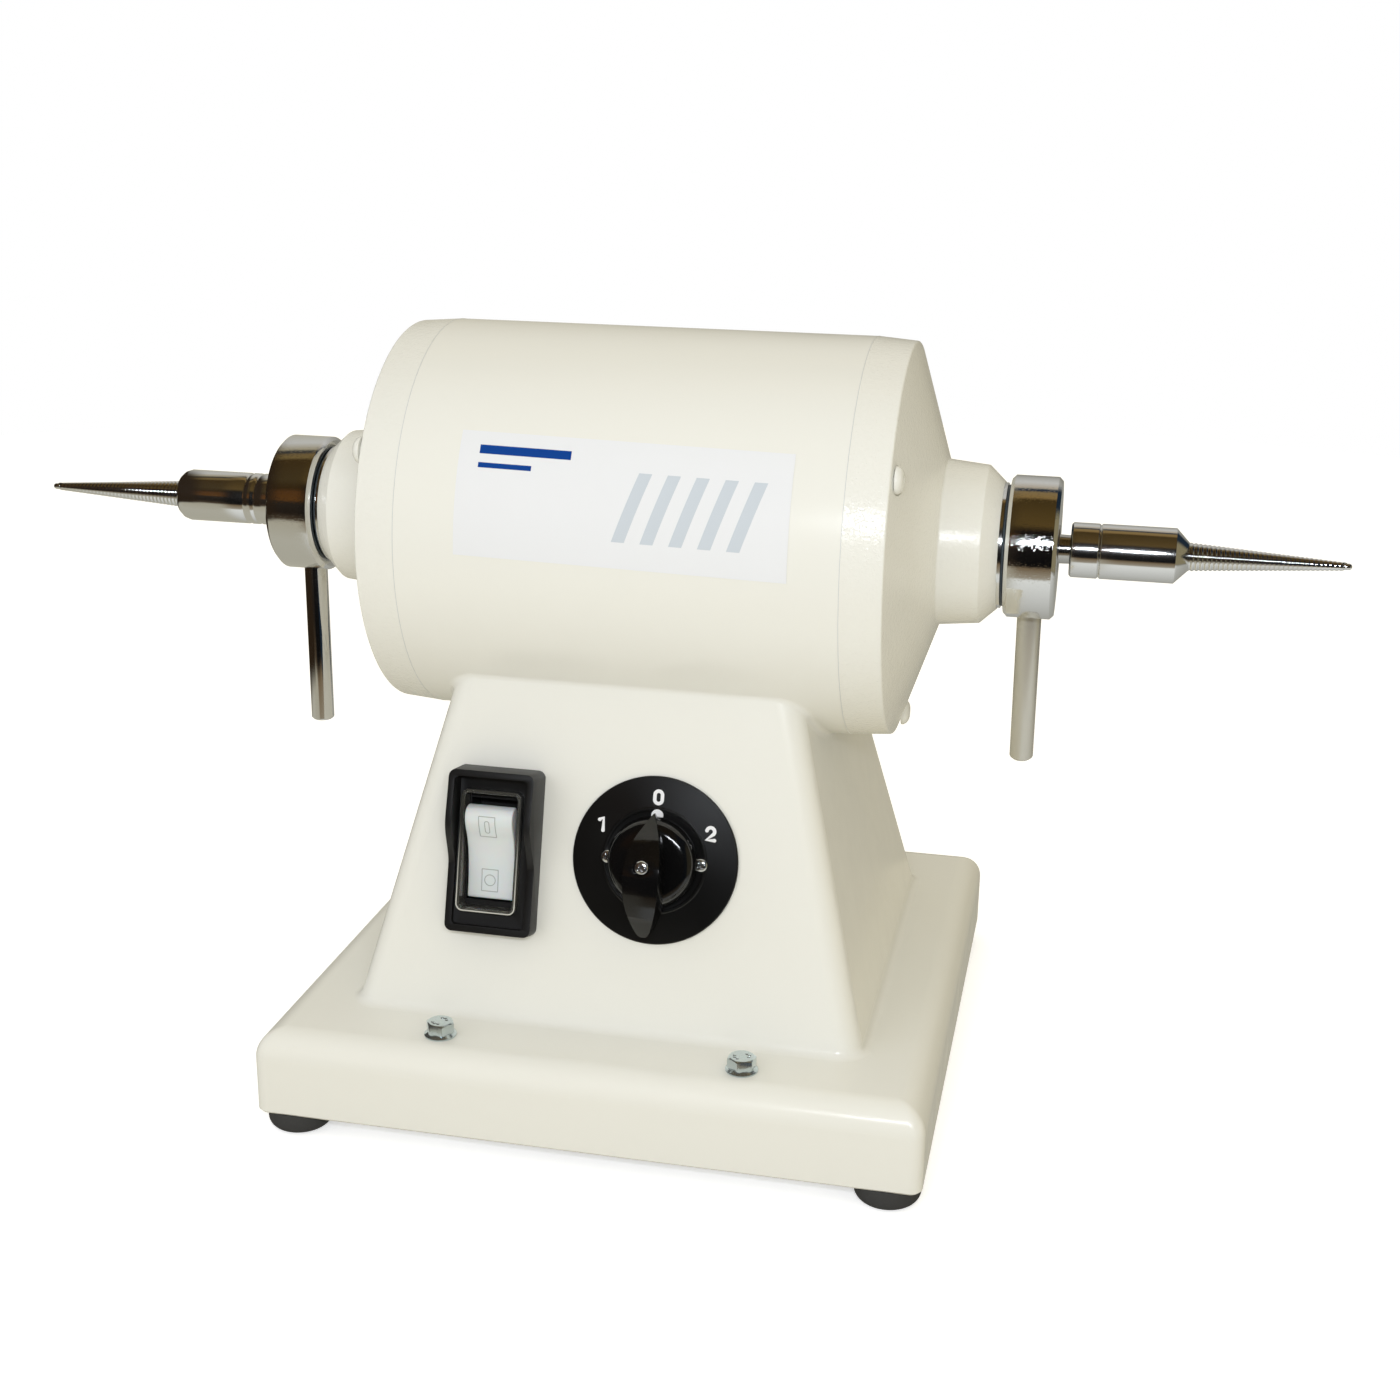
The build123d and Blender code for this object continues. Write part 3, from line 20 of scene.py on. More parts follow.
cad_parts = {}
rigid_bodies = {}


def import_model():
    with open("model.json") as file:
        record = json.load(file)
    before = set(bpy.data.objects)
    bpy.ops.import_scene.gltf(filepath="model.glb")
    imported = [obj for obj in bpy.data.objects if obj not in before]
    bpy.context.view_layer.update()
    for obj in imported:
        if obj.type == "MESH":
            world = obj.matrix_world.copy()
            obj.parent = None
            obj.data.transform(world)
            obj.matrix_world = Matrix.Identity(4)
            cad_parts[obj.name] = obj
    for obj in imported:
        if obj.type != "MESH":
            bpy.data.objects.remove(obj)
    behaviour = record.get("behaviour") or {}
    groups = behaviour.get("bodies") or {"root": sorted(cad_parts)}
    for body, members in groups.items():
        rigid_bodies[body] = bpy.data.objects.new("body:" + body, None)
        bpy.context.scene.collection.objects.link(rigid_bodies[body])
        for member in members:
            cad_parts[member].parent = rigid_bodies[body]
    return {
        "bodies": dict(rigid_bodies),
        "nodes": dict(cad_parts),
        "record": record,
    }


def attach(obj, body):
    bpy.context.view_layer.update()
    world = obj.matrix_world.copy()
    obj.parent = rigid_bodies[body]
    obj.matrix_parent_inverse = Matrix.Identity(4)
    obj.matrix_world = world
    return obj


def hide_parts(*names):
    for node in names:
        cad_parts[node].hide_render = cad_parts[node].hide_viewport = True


LOG = logging.getLogger("polishing_motor")
Point = tuple[float, float]
Triple = tuple[float, float, float]
Piece = bpy.types.Object
Tree = bpy.types.NodeTree
Node = bpy.types.Node
Socket = bpy.types.NodeSocket

# The spindles' height over the bench, and the barrel round them
SHAFT_Z = 228.5
BARREL_R = 80.0
# The pedestal's front face: its foot on top of the base, and its lean
FACE_Y = -95.0
BASE_TOP = 43.5
FACE_TAPER = math.radians(14.5)
# Room round a pin or a screw in its hole
CLEARANCE = 0.2
# Corners closer than these are one corner, on what is made here and on a copy of the CAD's mesh
SEAM = 0.002
COPY_SEAM = 0.00005
AT_ORIGIN = Matrix.Identity(4)
# Stands a flat outline on edge: its X runs along a frame's Y, its Y along Z, and its thickness along X
ON_EDGE = Matrix(((0, 0, 1, 0), (1, 0, 0, 0), (0, 1, 0, 0), (0, 0, 0, 1)))


class Side(Enum):
    """The two ends of the machine, seen from its switches."""

    LEFT = -1
    RIGHT = 1

    @property
    def word(self) -> str:
        """The side's name as the CAD nodes spell it."""
        return self.name.lower()


class Kept(Enum):
    """Which part of a piece stays where a tool meets it."""

    OUTSIDE = "DIFFERENCE"
    INSIDE = "INTERSECT"


class Rise(Enum):
    """How a value climbs from one mark to the next."""

    STRAIGHT = "LINEAR"
    SMOOTH = "SMOOTHSTEP"


# Units and places


def mm(value: float) -> float:
    """Millimetres in Blender's metres."""
    return value / 1000.0


def place(x: float, y: float, z: float) -> Vector:
    """A place in the machine's millimetres."""
    return Vector((mm(x), mm(y), mm(z)))


def frame_at(origin: Vector, x_axis: Vector, z_axis: Vector) -> Matrix:
    """A right-handed frame from its origin and two of its axes.

    Args:
        origin: where the frame stands, in metres.
        x_axis: the direction of its X axis.
        z_axis: the direction of its Z axis.

    Returns:
        The frame as a matrix.
    """
    x_axis = x_axis.normalized()
    z_axis = z_axis.normalized()
    y_axis = z_axis.cross(x_axis)
    turn = Matrix((x_axis, y_axis, z_axis)).transposed()
    return Matrix.Translation(origin) @ turn.to_4x4()


def spindle_frame(side: Side) -> Matrix:
    """The spindle's frame at the machine's middle, with Z pointing out to a side."""
    return frame_at(place(0, 0, SHAFT_Z), Vector((0, 0, 1)), Vector((side.value, 0, 0)))


def face_frame(x: float, up: float, out: float = 0.0) -> Matrix:
    """A frame on the sloping front face, with Y up the face and Z out of it.

    Args:
        x: place across the face.
        up: distance up the face from the top of the base.
        out: distance in front of the face.

    Returns:
        The frame as a matrix.
    """
    sine = math.sin(FACE_TAPER)
    cosine = math.cos(FACE_TAPER)
    origin = place(x, FACE_Y + up * sine - out * cosine, BASE_TOP + up * cosine + out * sine)
    return frame_at(origin, Vector((1, 0, 0)), Vector((0, -cosine, sine)))


# Working on meshes


def deselect() -> None:
    """Leave nothing selected, in object mode."""
    if bpy.context.object and bpy.context.object.mode != "OBJECT":
        bpy.ops.object.mode_set(mode="OBJECT")
    bpy.ops.object.select_all(action="DESELECT")


def choose(piece: Piece) -> None:
    """Select one piece alone and make it active.

    Args:
        piece: the piece.
    """
    deselect()
    piece.select_set(True)
    bpy.context.view_layer.objects.active = piece


class Editing:
    """Holds a piece open in edit mode, with all of it or nothing selected."""

    def __init__(self, piece: Piece, everything: bool = True) -> None:
        """Remember the piece and whether all of it is selected at the start."""
        self.piece = piece
        self.everything = everything

    def __enter__(self) -> Piece:
        """Open the piece.

        Returns:
            The piece that is open.
        """
        choose(self.piece)
        bpy.ops.object.mode_set(mode="EDIT")
        bpy.ops.mesh.select_all(action="SELECT" if self.everything else "DESELECT")
        return self.piece

    def __exit__(
        self, kind: type[BaseException] | None, error: BaseException | None, trace: TracebackType | None
    ) -> None:
        """Close the piece again."""
        bpy.ops.object.mode_set(mode="OBJECT")


def modify(piece: Piece, kind: str, **settings: object) -> None:
    """Add a modifier to a piece and apply it.

    Args:
        piece: the piece.
        kind: Blender's name for the modifier.
        settings: values for the modifier's properties.
    """
    choose(piece)
    bpy.ops.object.modifier_add(type=kind)
    modifier = piece.modifiers[-1]
    for name, value in settings.items():
        setattr(modifier, name, value)
    bpy.ops.object.modifier_apply(modifier=modifier.name)


def settle(piece: Piece, frame: Matrix) -> Piece:
    """Put a piece in its frame, with its place in its mesh.

    Args:
        piece: the piece.
        frame: where it goes.

    Returns:
        The same piece.
    """
    choose(piece)
    piece.matrix_world = frame @ piece.matrix_world
    bpy.context.view_layer.update()
    bpy.ops.object.transform_apply(location=True, rotation=True, scale=True)
    return piece


def soften(piece: Piece, width: float, segments: int = 2, limit: float = 30.0) -> None:
    """Round a piece's sharp edges and shade it smooth.

    Args:
        piece: the piece.
        width: width of the rounding in millimetres; 0 leaves the edges as they are.
        segments: faces across the rounding.
        limit: angle in degrees above which an edge counts as sharp.
    """
    if width > 0:
        modify(
            piece, "BEVEL", width=mm(width), segments=segments, limit_method="ANGLE",
            angle_limit=math.radians(limit), harden_normals=False,
        )
    choose(piece)
    bpy.ops.object.shade_smooth_by_angle(angle=math.radians(limit))


def close_seams(piece: Piece, reach: float = SEAM) -> None:
    """Merge a piece's doubles within a reach and point its faces outwards.

    Args:
        piece: the piece.
        reach: how far apart doubles lie at most, in millimetres.
    """
    with Editing(piece):
        bpy.ops.mesh.remove_doubles(threshold=mm(reach))
        bpy.ops.mesh.normals_make_consistent(inside=False)


def draw_line(name: str, corners: Sequence[Vector]) -> Piece:
    """A line of edges, drawn by extruding one corner at a time.

    Args:
        name: the line's name.
        corners: its corners in metres, the first repeated at the end where the line is closed.

    Returns:
        The line.
    """
    deselect()
    bpy.ops.mesh.primitive_plane_add(size=mm(1))
    piece = bpy.context.object
    piece.name = name
    with Editing(piece):
        bpy.ops.mesh.merge(type="CENTER")
        bpy.ops.transform.translate(value=corners[0])
        for before, after in zip(corners, corners[1:]):
            bpy.ops.mesh.extrude_region_move(TRANSFORM_OT_translate={"value": after - before})
    return piece


def wire(name: str, points: Sequence[Point]) -> Piece:
    """A line of (radius, height) points."""
    return draw_line(name, [Vector((mm(radius), 0, mm(height))) for radius, height in points])


def lathe(name: str, outline: Sequence[Point], frame: Matrix, steps: int = 96) -> Piece:
    """Draw an outline and spin it about a frame's Z axis.

    Args:
        name: the piece's name.
        outline: (radius, height) points, the first repeated at the end where the outline is closed.
        frame: where the turned piece stands.
        steps: faces round the turned piece.

    Returns:
        The turned piece, in place.
    """
    piece = wire(name, outline)
    with Editing(piece):
        bpy.ops.mesh.spin(steps=steps, angle=2 * math.pi, center=(0, 0, 0), axis=(0, 0, 1))
    close_seams(piece)
    return settle(piece, frame)


def turn_on_spindle(name: str, outline: Sequence[Point], side: Side, steps: int = 96) -> Piece:
    """Turn a piece about the spindle from (distance along it, radius) points."""
    return lathe(name, [(radius, along) for along, radius in outline], spindle_frame(side), steps)


def rod(radius: float, low: float, high: float) -> list[Point]:
    """The (radius, height) outline of a solid round bar."""
    return [(0, low), (radius, low), (radius, high), (0, high)]


def tube(inner: float, outer: float, low: float, high: float) -> list[Point]:
    """The closed (radius, height) outline of a round tube."""
    return [(inner, low), (outer, low), (outer, high), (inner, high), (inner, low)]


def arc(centre: Point, radius: float, start: float, end: float, steps: int) -> list[Point]:
    """The points of an arc.

    Args:
        centre: its centre.
        radius: its radius.
        start: the first point's angle in degrees.
        end: the last point's angle.
        steps: pieces along the arc.

    Returns:
        The points, both ends included.
    """
    turns = [math.radians(start + (end - start) * index / steps) for index in range(steps + 1)]
    return [(centre[0] + radius * math.cos(turn), centre[1] + radius * math.sin(turn)) for turn in turns]


def hexagon(corner_r: float) -> list[Point]:
    """The corners of a hexagon at a radius."""
    return arc((0, 0), corner_r, 0, 300, 5)


def block(
    name: str, size: Triple, frame: Matrix, low: float = 0.0, corner: float = 0.0, draft: float = 0.0
) -> Piece:
    """A slab drawn as a plane with rounded corners, then extruded and drawn in by its draft.

    Args:
        name: the piece's name.
        size: width, length and height.
        frame: where the slab stands; its lower face lies at the frame's height low.
        low: height of the lower face.
        corner: radius of the upright edges.
        draft: how far each side leans in over the height.

    Returns:
        The slab, in place.
    """
    width, length, height = size
    deselect()
    bpy.ops.mesh.primitive_plane_add(size=mm(1), location=(0, 0, mm(low)))
    piece = bpy.context.object
    piece.name = name
    with Editing(piece):
        bpy.ops.transform.resize(value=(width, length, 1), center_override=(0, 0, mm(low)))
        if corner > 0:
            bpy.ops.mesh.bevel(offset=mm(corner), segments=6, affect="VERTICES")
        bpy.ops.mesh.select_all(action="SELECT")
        bpy.ops.mesh.extrude_region_move(TRANSFORM_OT_translate={"value": (0, 0, mm(height))})
        if draft > 0:
            shrink = ((width - 2 * draft) / width, (length - 2 * draft) / length, 1)
            bpy.ops.transform.resize(value=shrink, center_override=(0, 0, mm(low + height)))
    close_seams(piece)
    return settle(piece, frame)


def prism(name: str, outline: Sequence[Point], thickness: float, frame: Matrix) -> Piece:
    """A flat outline drawn point by point, filled and extruded to both sides of its plane.

    Args:
        name: the piece's name.
        outline: (x, y) points of the outline, in order.
        thickness: whole thickness, half on each side.
        frame: where the outline's plane stands.

    Returns:
        The prism, in place.
    """
    piece = draw_line(name, [Vector((mm(x), mm(y), -mm(thickness) / 2)) for x, y in [*outline, outline[0]]])
    with Editing(piece):
        bpy.ops.mesh.remove_doubles(threshold=mm(SEAM))
        bpy.ops.mesh.edge_face_add()
        bpy.ops.mesh.select_all(action="SELECT")
        bpy.ops.mesh.extrude_region_move(TRANSFORM_OT_translate={"value": (0, 0, mm(thickness))})
    close_seams(piece)
    return settle(piece, frame)


def carve(piece: Piece, tool: Piece, kept: Kept = Kept.OUTSIDE) -> None:
    """Cut a piece along a tool's surface, and use the tool up.

    Args:
        piece: the piece.
        tool: the tool.
        kept: which part of the piece stays.
    """
    modify(piece, "BOOLEAN", object=tool, operation=kept.value, solver="EXACT")
    bpy.data.objects.remove(tool)


def copy_of(piece: Piece, frame: Matrix) -> Piece:
    """A copy with a mesh of its own, moved by a frame.

    Args:
        piece: the piece.
        frame: where the copy goes.

    Returns:
        The copy.
    """
    twin = bpy.data.objects.new(piece.name, piece.data.copy())
    bpy.context.collection.objects.link(twin)
    return settle(twin, frame)


def joined(name: str, parts: Sequence[Piece]) -> Piece:
    """Join several parts into one piece.

    Args:
        name: the name of the whole.
        parts: the parts, of which the first takes in the rest.

    Returns:
        The whole.
    """
    choose(parts[0])
    for part in parts:
        part.select_set(True)
    bpy.ops.object.join()
    parts[0].name = name
    return parts[0]


def rounded(before: Point, corner: Point, after: Point, radius: float, steps: int = 6) -> list[Point]:
    """The points of an outline's corner, rounded to a radius.

    Args:
        before: the outline's point before the corner.
        corner: the sharp corner.
        after: the outline's point after the corner.
        radius: radius of the rounding.
        steps: pieces along the rounding.

    Returns:
        The points along the rounding, in order.
    """
    place_at = Vector(corner)
    back = (Vector(before) - place_at).normalized()
    ahead = (Vector(after) - place_at).normalized()
    half = back.angle(ahead) / 2
    middle = place_at + (back + ahead).normalized() * radius / math.sin(half)
    start = place_at + back * radius / math.tan(half) - middle
    end = place_at + ahead * radius / math.tan(half) - middle
    return [tuple(middle + start.slerp(end, index / steps)) for index in range(steps + 1)]


def smooth_line(points: Sequence[Point], steps: int) -> list[Point]:
    """A smooth line through points, with that many pieces between each two.

    Args:
        points: the points, in order.
        steps: pieces between each two.

    Returns:
        The line's points, both ends included.
    """
    ends = [points[0], *points, points[-1]]
    line = []
    for corners in zip(ends, ends[1:], ends[2:], ends[3:]):
        for index in range(steps):
            t = index / steps
            line.append(tuple(
                b + 0.5 * t * ((c - a) + t * ((2 * a - 5 * b + 4 * c - d) + t * (3 * b - a - 3 * c + d)))
                for a, b, c, d in zip(*corners)
            ))
    return line + [points[-1]]


# A pan head's outline, as shares of its radius and height, and how its cross stands
PAN_HEAD = ((0.97, 0.0), (1.0, 0.3), (0.93, 0.62), (0.75, 0.86), (0.45, 0.97), (0.0, 1.0))
CROSS_TURN = 25.0


def cross_screw(name: str, head_r: float, head_h: float, shank_r: float, length: float) -> Piece:
    """A pan-headed screw with a cross recess, its seat at the origin.

    Args:
        name: the screw's name.
        head_r: radius of the head.
        head_h: height of the head.
        shank_r: radius of the shank.
        length: length of the shank.

    Returns:
        The screw, head up.
    """
    outline = [
        (0, -length), (shank_r, -length), (shank_r, 0),
        *((head_r * across, head_h * up) for across, up in PAN_HEAD),
    ]
    screw = lathe(name, outline, AT_ORIGIN, 40)
    slot_size = (head_r * 1.15, head_r * 0.27, head_h)
    for turn in (CROSS_TURN, CROSS_TURN + 90):
        slot = block("slot", slot_size, Matrix.Rotation(math.radians(turn), 4, "Z"), head_h * 0.4)
        carve(screw, slot)
    soften(screw, 0.08, 2, 35)
    return screw


# Finishes


def linear(colour: str) -> tuple[float, float, float, float]:
    """An sRGB hex colour as the linear colour that Blender's sockets take.

    Args:
        colour: the colour as # and six hex digits.

    Returns:
        Red, green and blue from 0 to 1, and an alpha of 1.
    """
    channels = [int(colour[at:at + 2], 16) / 255 for at in (1, 3, 5)]
    values = [c / 12.92 if c <= 0.04045 else ((c + 0.055) / 1.055) ** 2.4 for c in channels]
    return (*values, 1.0)


def add_node(
    tree: Tree, kind: str, settings: dict[str, object] | None = None,
    inputs: dict[str | int, object] | None = None,
) -> Node:
    """Add a node with its settings and links.

    Args:
        tree: the node tree.
        kind: Blender's name for the node, without its ShaderNode.
        settings: values for the node's own properties.
        inputs: for each input, a plain value or the output that it takes.

    Returns:
        The new node.
    """
    node = tree.nodes.new("ShaderNode" + kind)
    for name, value in (settings or {}).items():
        setattr(node, name, value)
    for name, value in (inputs or {}).items():
        if isinstance(value, Socket):
            tree.links.new(value, node.inputs[name])
        else:
            node.inputs[name].default_value = value
    return node


def calculate(tree: Tree, operation: str, *values: float | Socket) -> Socket:
    """The result of a Math node's operation on values or outputs."""
    return add_node(tree, "Math", {"operation": operation}, dict(enumerate(values))).outputs[0]


def aligned(tree: Tree, where: Socket, direction: Triple) -> Socket:
    """How far a place or a direction goes along a given direction."""
    node = add_node(tree, "VectorMath", {"operation": "DOT_PRODUCT"}, {0: where, 1: direction})
    return node.outputs["Value"]


def mapped(
    tree: Tree, value: Socket, given: Point, wanted: Point = (0.0, 1.0), rise: Rise = Rise.STRAIGHT
) -> Socket:
    """A value carried from one range to another and held at its ends.

    Args:
        tree: the node tree.
        value: the value.
        given: its low and high mark.
        wanted: what it is at the two marks.
        rise: how it climbs in between.

    Returns:
        The new value.
    """
    ends = {"From Min": given[0], "From Max": given[1], "To Min": wanted[0], "To Max": wanted[1]}
    node = add_node(tree, "MapRange", {"interpolation_type": rise.value}, {"Value": value, **ends})
    return node.outputs["Result"]


def mixed(tree: Tree, share: Socket, first: Socket | object, second: Socket | object) -> Socket:
    """Two colours mixed by a share."""
    node = add_node(tree, "Mix", {"data_type": "RGBA"}, {"Factor": share, "A": first, "B": second})
    return node.outputs["Result"]


def chosen(tree: Tree, share: Socket, first: Socket, second: Socket) -> Socket:
    """Two shaders mixed by a share."""
    return add_node(tree, "MixShader", None, {"Fac": share, 1: first, 2: second}).outputs[0]


@dataclass(frozen=True)
class Finish:
    """A plain finish; finer ones add their pattern to it."""

    name: str
    colour: str
    roughness: float
    metallic: float = 0.0
    ior: float = 1.5
    transmission: float = 0.0
    subsurface: float = 0.0

    def material(self) -> bpy.types.Material:
        """The finish as a material, made at its first use.

        Returns:
            The material.
        """
        made = bpy.data.materials.get(self.name)
        if made is not None:
            return made
        made = bpy.data.materials.new(self.name)
        made.use_nodes = True
        shader = made.node_tree.nodes["Principled BSDF"]
        shader.inputs["Base Color"].default_value = linear(self.colour)
        shader.inputs["Roughness"].default_value = self.roughness
        shader.inputs["Metallic"].default_value = self.metallic
        if self.metallic == 0:
            shader.inputs["IOR"].default_value = self.ior
        shader.inputs["Transmission Weight"].default_value = self.transmission
        shader.inputs["Subsurface Weight"].default_value = self.subsurface
        shader.inputs["Subsurface Scale"].default_value = mm(3)
        self.pattern(made.node_tree, shader)
        return made

    def pattern(self, tree: Tree, shader: Node) -> None:
        """A plain finish adds nothing."""

    def object_place(self, tree: Tree) -> Socket:
        """The place on the machine, in metres."""
        return add_node(tree, "TexCoord").outputs["Object"]

    def noise(self, tree: Tree, cell: float, detail: float) -> Socket:
        """An even noise with cells of a size in millimetres."""
        inputs = {"Vector": self.object_place(tree), "Scale": 1000 / cell, "Detail": detail}
        return add_node(tree, "TexNoise", None, inputs).outputs["Fac"]

    def vary_gloss(self, tree: Tree, shader: Node, value: Socket, change: float) -> None:
        """Let the roughness rise and fall with a noise by a change."""
        ends = (max(self.roughness - change, 0.0), self.roughness + change)
        tree.links.new(mapped(tree, value, (0.3, 0.7), ends), shader.inputs["Roughness"])

    def two_tone(self, tree: Tree, shader: Node, share: Socket, other: str) -> None:
        """Colour the surface from another colour at share 0 to the finish's own at share 1."""
        tone = mixed(tree, share, linear(other), linear(self.colour))
        tree.links.new(tone, shader.inputs["Base Color"])

    def bump(self, tree: Tree, shader: Node, height: Socket, depth: float) -> None:
        """Raise the surface by a pattern.

        Args:
            tree: the material's nodes.
            shader: its shader.
            height: the pattern, from 0 to 1.
            depth: the real height of the pattern in millimetres.
        """
        node = add_node(tree, "Bump", None, {"Strength": 1.0, "Distance": mm(depth), "Height": height})
        tree.links.new(node.outputs["Normal"], shader.inputs["Normal"])


@dataclass(frozen=True)
class GrainedFinish(Finish):
    """A finish with an even fine relief, such as sprayed enamel or moulded grain."""

    cell: float = 2.0
    depth: float = 0.02
    detail: float = 2.0
    sheen_change: float = 0.04
    gloss_patch: float = 25.0
    pip_size: float = 0.6
    pip_height: float = 0.0

    def pattern(self, tree: Tree, shader: Node) -> None:
        """Rolling relief of the cell's size with scattered pips, and a slight change of gloss over it.

        Args:
            tree: the material's nodes.
            shader: its shader.
        """
        relief = self.noise(tree, self.cell, self.detail)
        if self.pip_height > 0:
            pips = mapped(tree, self.noise(tree, self.pip_size, 1.0), (0.58, 0.72))
            relief = calculate(tree, "MULTIPLY_ADD", pips, self.pip_height / self.depth, relief)
        self.bump(tree, shader, relief, self.depth)
        self.vary_gloss(tree, shader, self.noise(tree, self.gloss_patch, 2.0), self.sheen_change)


@dataclass(frozen=True)
class TurnedFinish(Finish):
    """Metal with the fine rings that a lathe tool or a grinding belt leaves along an axis."""

    axis: Triple = (1.0, 0.0, 0.0)
    spacing: float = 0.35
    depth: float = 0.004
    gloss_change: float = 0.3

    def pattern(self, tree: Tree, shader: Node) -> None:
        """Rings at uneven spacings, from noise that changes along the axis alone.

        Args:
            tree: the material's nodes.
            shader: its shader.
        """
        along = aligned(tree, self.object_place(tree), self.axis)
        inputs = {"W": along, "Scale": 1000 / self.spacing, "Detail": 3.0}
        rings = add_node(tree, "TexNoise", {"noise_dimensions": "1D"}, inputs).outputs["Fac"]
        self.bump(tree, shader, rings, self.depth)
        self.vary_gloss(tree, shader, rings, self.roughness * self.gloss_change)


@dataclass(frozen=True)
class BandedFinish(Finish):
    """Stacked sheets or wound wire, shown as bands of two tones."""

    second_colour: str = "#202020"
    pitch: float = 1.0
    depth: float = 0.1

    def pattern(self, tree: Tree, shader: Node) -> None:
        """Straight bands across the spindle, in colour and relief.

        Args:
            tree: the material's nodes.
            shader: its shader.
        """
        inputs = {"Vector": self.object_place(tree), "Distortion": 0.6, "Detail": 1.0}
        inputs["Scale"] = 50 * math.pi / self.pitch
        wave = add_node(tree, "TexWave", {"wave_type": "BANDS", "bands_direction": "X"}, inputs)
        bands = wave.outputs["Fac"]
        self.two_tone(tree, shader, bands, self.second_colour)
        self.bump(tree, shader, bands, self.depth)


@dataclass(frozen=True)
class SpangledFinish(Finish):
    """Hot-dip zinc, whose crystals show as flat patches of slightly different grey."""

    second_colour: str = "#8E9494"
    crystal: float = 9.0

    def pattern(self, tree: Tree, shader: Node) -> None:
        """One tone for each crystal.

        Args:
            tree: the material's nodes.
            shader: its shader.
        """
        inputs = {"Vector": self.object_place(tree), "Scale": 1000 / self.crystal}
        crystals = add_node(tree, "TexVoronoi", None, inputs).outputs["Color"]
        self.two_tone(tree, shader, crystals, self.second_colour)


@dataclass(frozen=True)
class FadingFinish(Finish):
    """A finish that changes to a second colour up the machine; the clear rim's painted highlight uses it,
    pale below and dark above.
    """

    second_colour: str = "#202020"
    low: float = 0.0
    high: float = 100.0

    def pattern(self, tree: Tree, shader: Node) -> None:
        """The first colour below the low mark and the second above the high one, in millimetres.

        Args:
            tree: the material's nodes.
            shader: its shader.
        """
        height = add_node(tree, "SeparateXYZ", None, {0: self.object_place(tree)}).outputs["Z"]
        share = mapped(tree, height, (mm(self.low), mm(self.high)), (1.0, 0.0))
        self.two_tone(tree, shader, share, self.second_colour)


# Sprayed stoving enamel over a sand casting: glossy cream with the rolling skin of a thick coat
ENAMEL = GrainedFinish("cream_stoving_enamel", "#EBEBE4", 0.22, ior=1.52, cell=2.6, depth=0.02)
# The same enamel over the rougher end shields, whose casting skin shows through
SHIELD_ENAMEL = GrainedFinish(
    "cream_enamel_on_casting_skin", "#EBEBE4", 0.20, ior=1.52, cell=1.8, depth=0.15, detail=4.0, pip_size=0.8,
    pip_height=0.05,
)
# Bright decorative chrome on sleeves and mandrels: a mirror with hardly any polishing haze
CHROME = TurnedFinish(
    "bright_chrome_plate", "#E2E2E0", 0.12, 1.0, spacing=1.5, depth=0.0002, gloss_change=0.06
)
# The same plate over a coarser ground ring: its fine peel breaks a lamp's image into sparks
CHROME_RING = GrainedFinish(
    "bright_chrome_over_ground_ring", "#E2E2E0", 0.06, 1.0, cell=0.9, depth=0.009, sheen_change=0.02,
    pip_size=0.6, pip_height=0.013,
)
# The left lever's plated bar, with faint rings across its length
CHROME_BAR = TurnedFinish(
    "bright_chrome_bar", "#E2E2E0", 0.08, 1.0, axis=(0.0, 0.0, 1.0), spacing=0.6, depth=0.0006
)
# The ejector discs, turned and left satin, so their rings soften the reflection
TURNED_STEEL = TurnedFinish("turned_satin_steel", "#B4B2AC", 0.30, 1.0, spacing=0.4, depth=0.004)
# The right lever's bar: blasted, so that it reads pale and even
LEVER_STEEL = Finish("blasted_satin_bar", "#CFCDC4", 0.27, 0.55)
# Ground shaft: darker grey, even and fine
SHAFT_STEEL = TurnedFinish("ground_shaft_steel", "#B9B8B4", 0.14, 1.0, spacing=0.3, depth=0.003)
# Zinc-plated and clear passivated screws, nuts and spindle: bright, slightly cloudy
ZINC = GrainedFinish("bright_zinc_plate", "#CDD3D2", 0.24, 0.8, cell=0.8, depth=0.004, sheen_change=0.08)
# Flange bolts: brighter zinc whose facets show the dark of the room beside the pale base
BOLT_ZINC = GrainedFinish("blue_passivated_bolt", "#CBD6D9", 0.15, 0.92, cell=1.2, depth=0.010)
# Nickelled screw heads, dented by the driver so that they glint in patches
NICKEL = GrainedFinish("nickelled_screw_head", "#E9EBEC", 0.16, 1.0, cell=0.9, depth=0.06, sheen_change=0.06)
# Bearing rings and balls: the brightest of the ground steels
BEARING_STEEL = TurnedFinish("ground_bearing_steel", "#B9BABC", 0.12, 1.0, spacing=0.3, depth=0.001)
# Wave washer and circlips: dark and dull from phosphating
SPRING_STEEL = Finish("phosphated_spring_steel", "#3B3B3D", 0.5, 1.0)
# Electrical sheet, stacked: its edges show as fine dark lines, drawn at 1.2 mm so that they read
LAMINATIONS = BandedFinish(
    "stacked_electrical_sheet", "#5C5C60", 0.45, 1.0, second_colour="#303034", pitch=1.2
)
# Enamelled copper wire under varnish, amber and glossy, in turns of about 1 mm
WINDING = BandedFinish("varnished_copper_wire", "#B5622D", 0.30, 0.7, second_colour="#6B3113", pitch=1.1)
# The rotor's cast rings: dull grey with a sandy skin
DIE_CAST = GrainedFinish("die_cast_aluminium", "#B4B6B8", 0.40, 1.0, cell=1.5, depth=0.02)
# Compression-moulded knob: deep black with a polished skin
GLOSS_BLACK = GrainedFinish(
    "polished_black_moulding", "#0B0B0C", 0.10, ior=1.55, cell=3.0, depth=0.05, sheen_change=0.02
)
# Spark-eroded mould surface of the switch surround and the gland: black that greys in grazing light
GRAIN_BLACK = GrainedFinish("fine_grained_black_polyamide", "#101010", 0.46, ior=1.53, cell=0.35, depth=0.012)
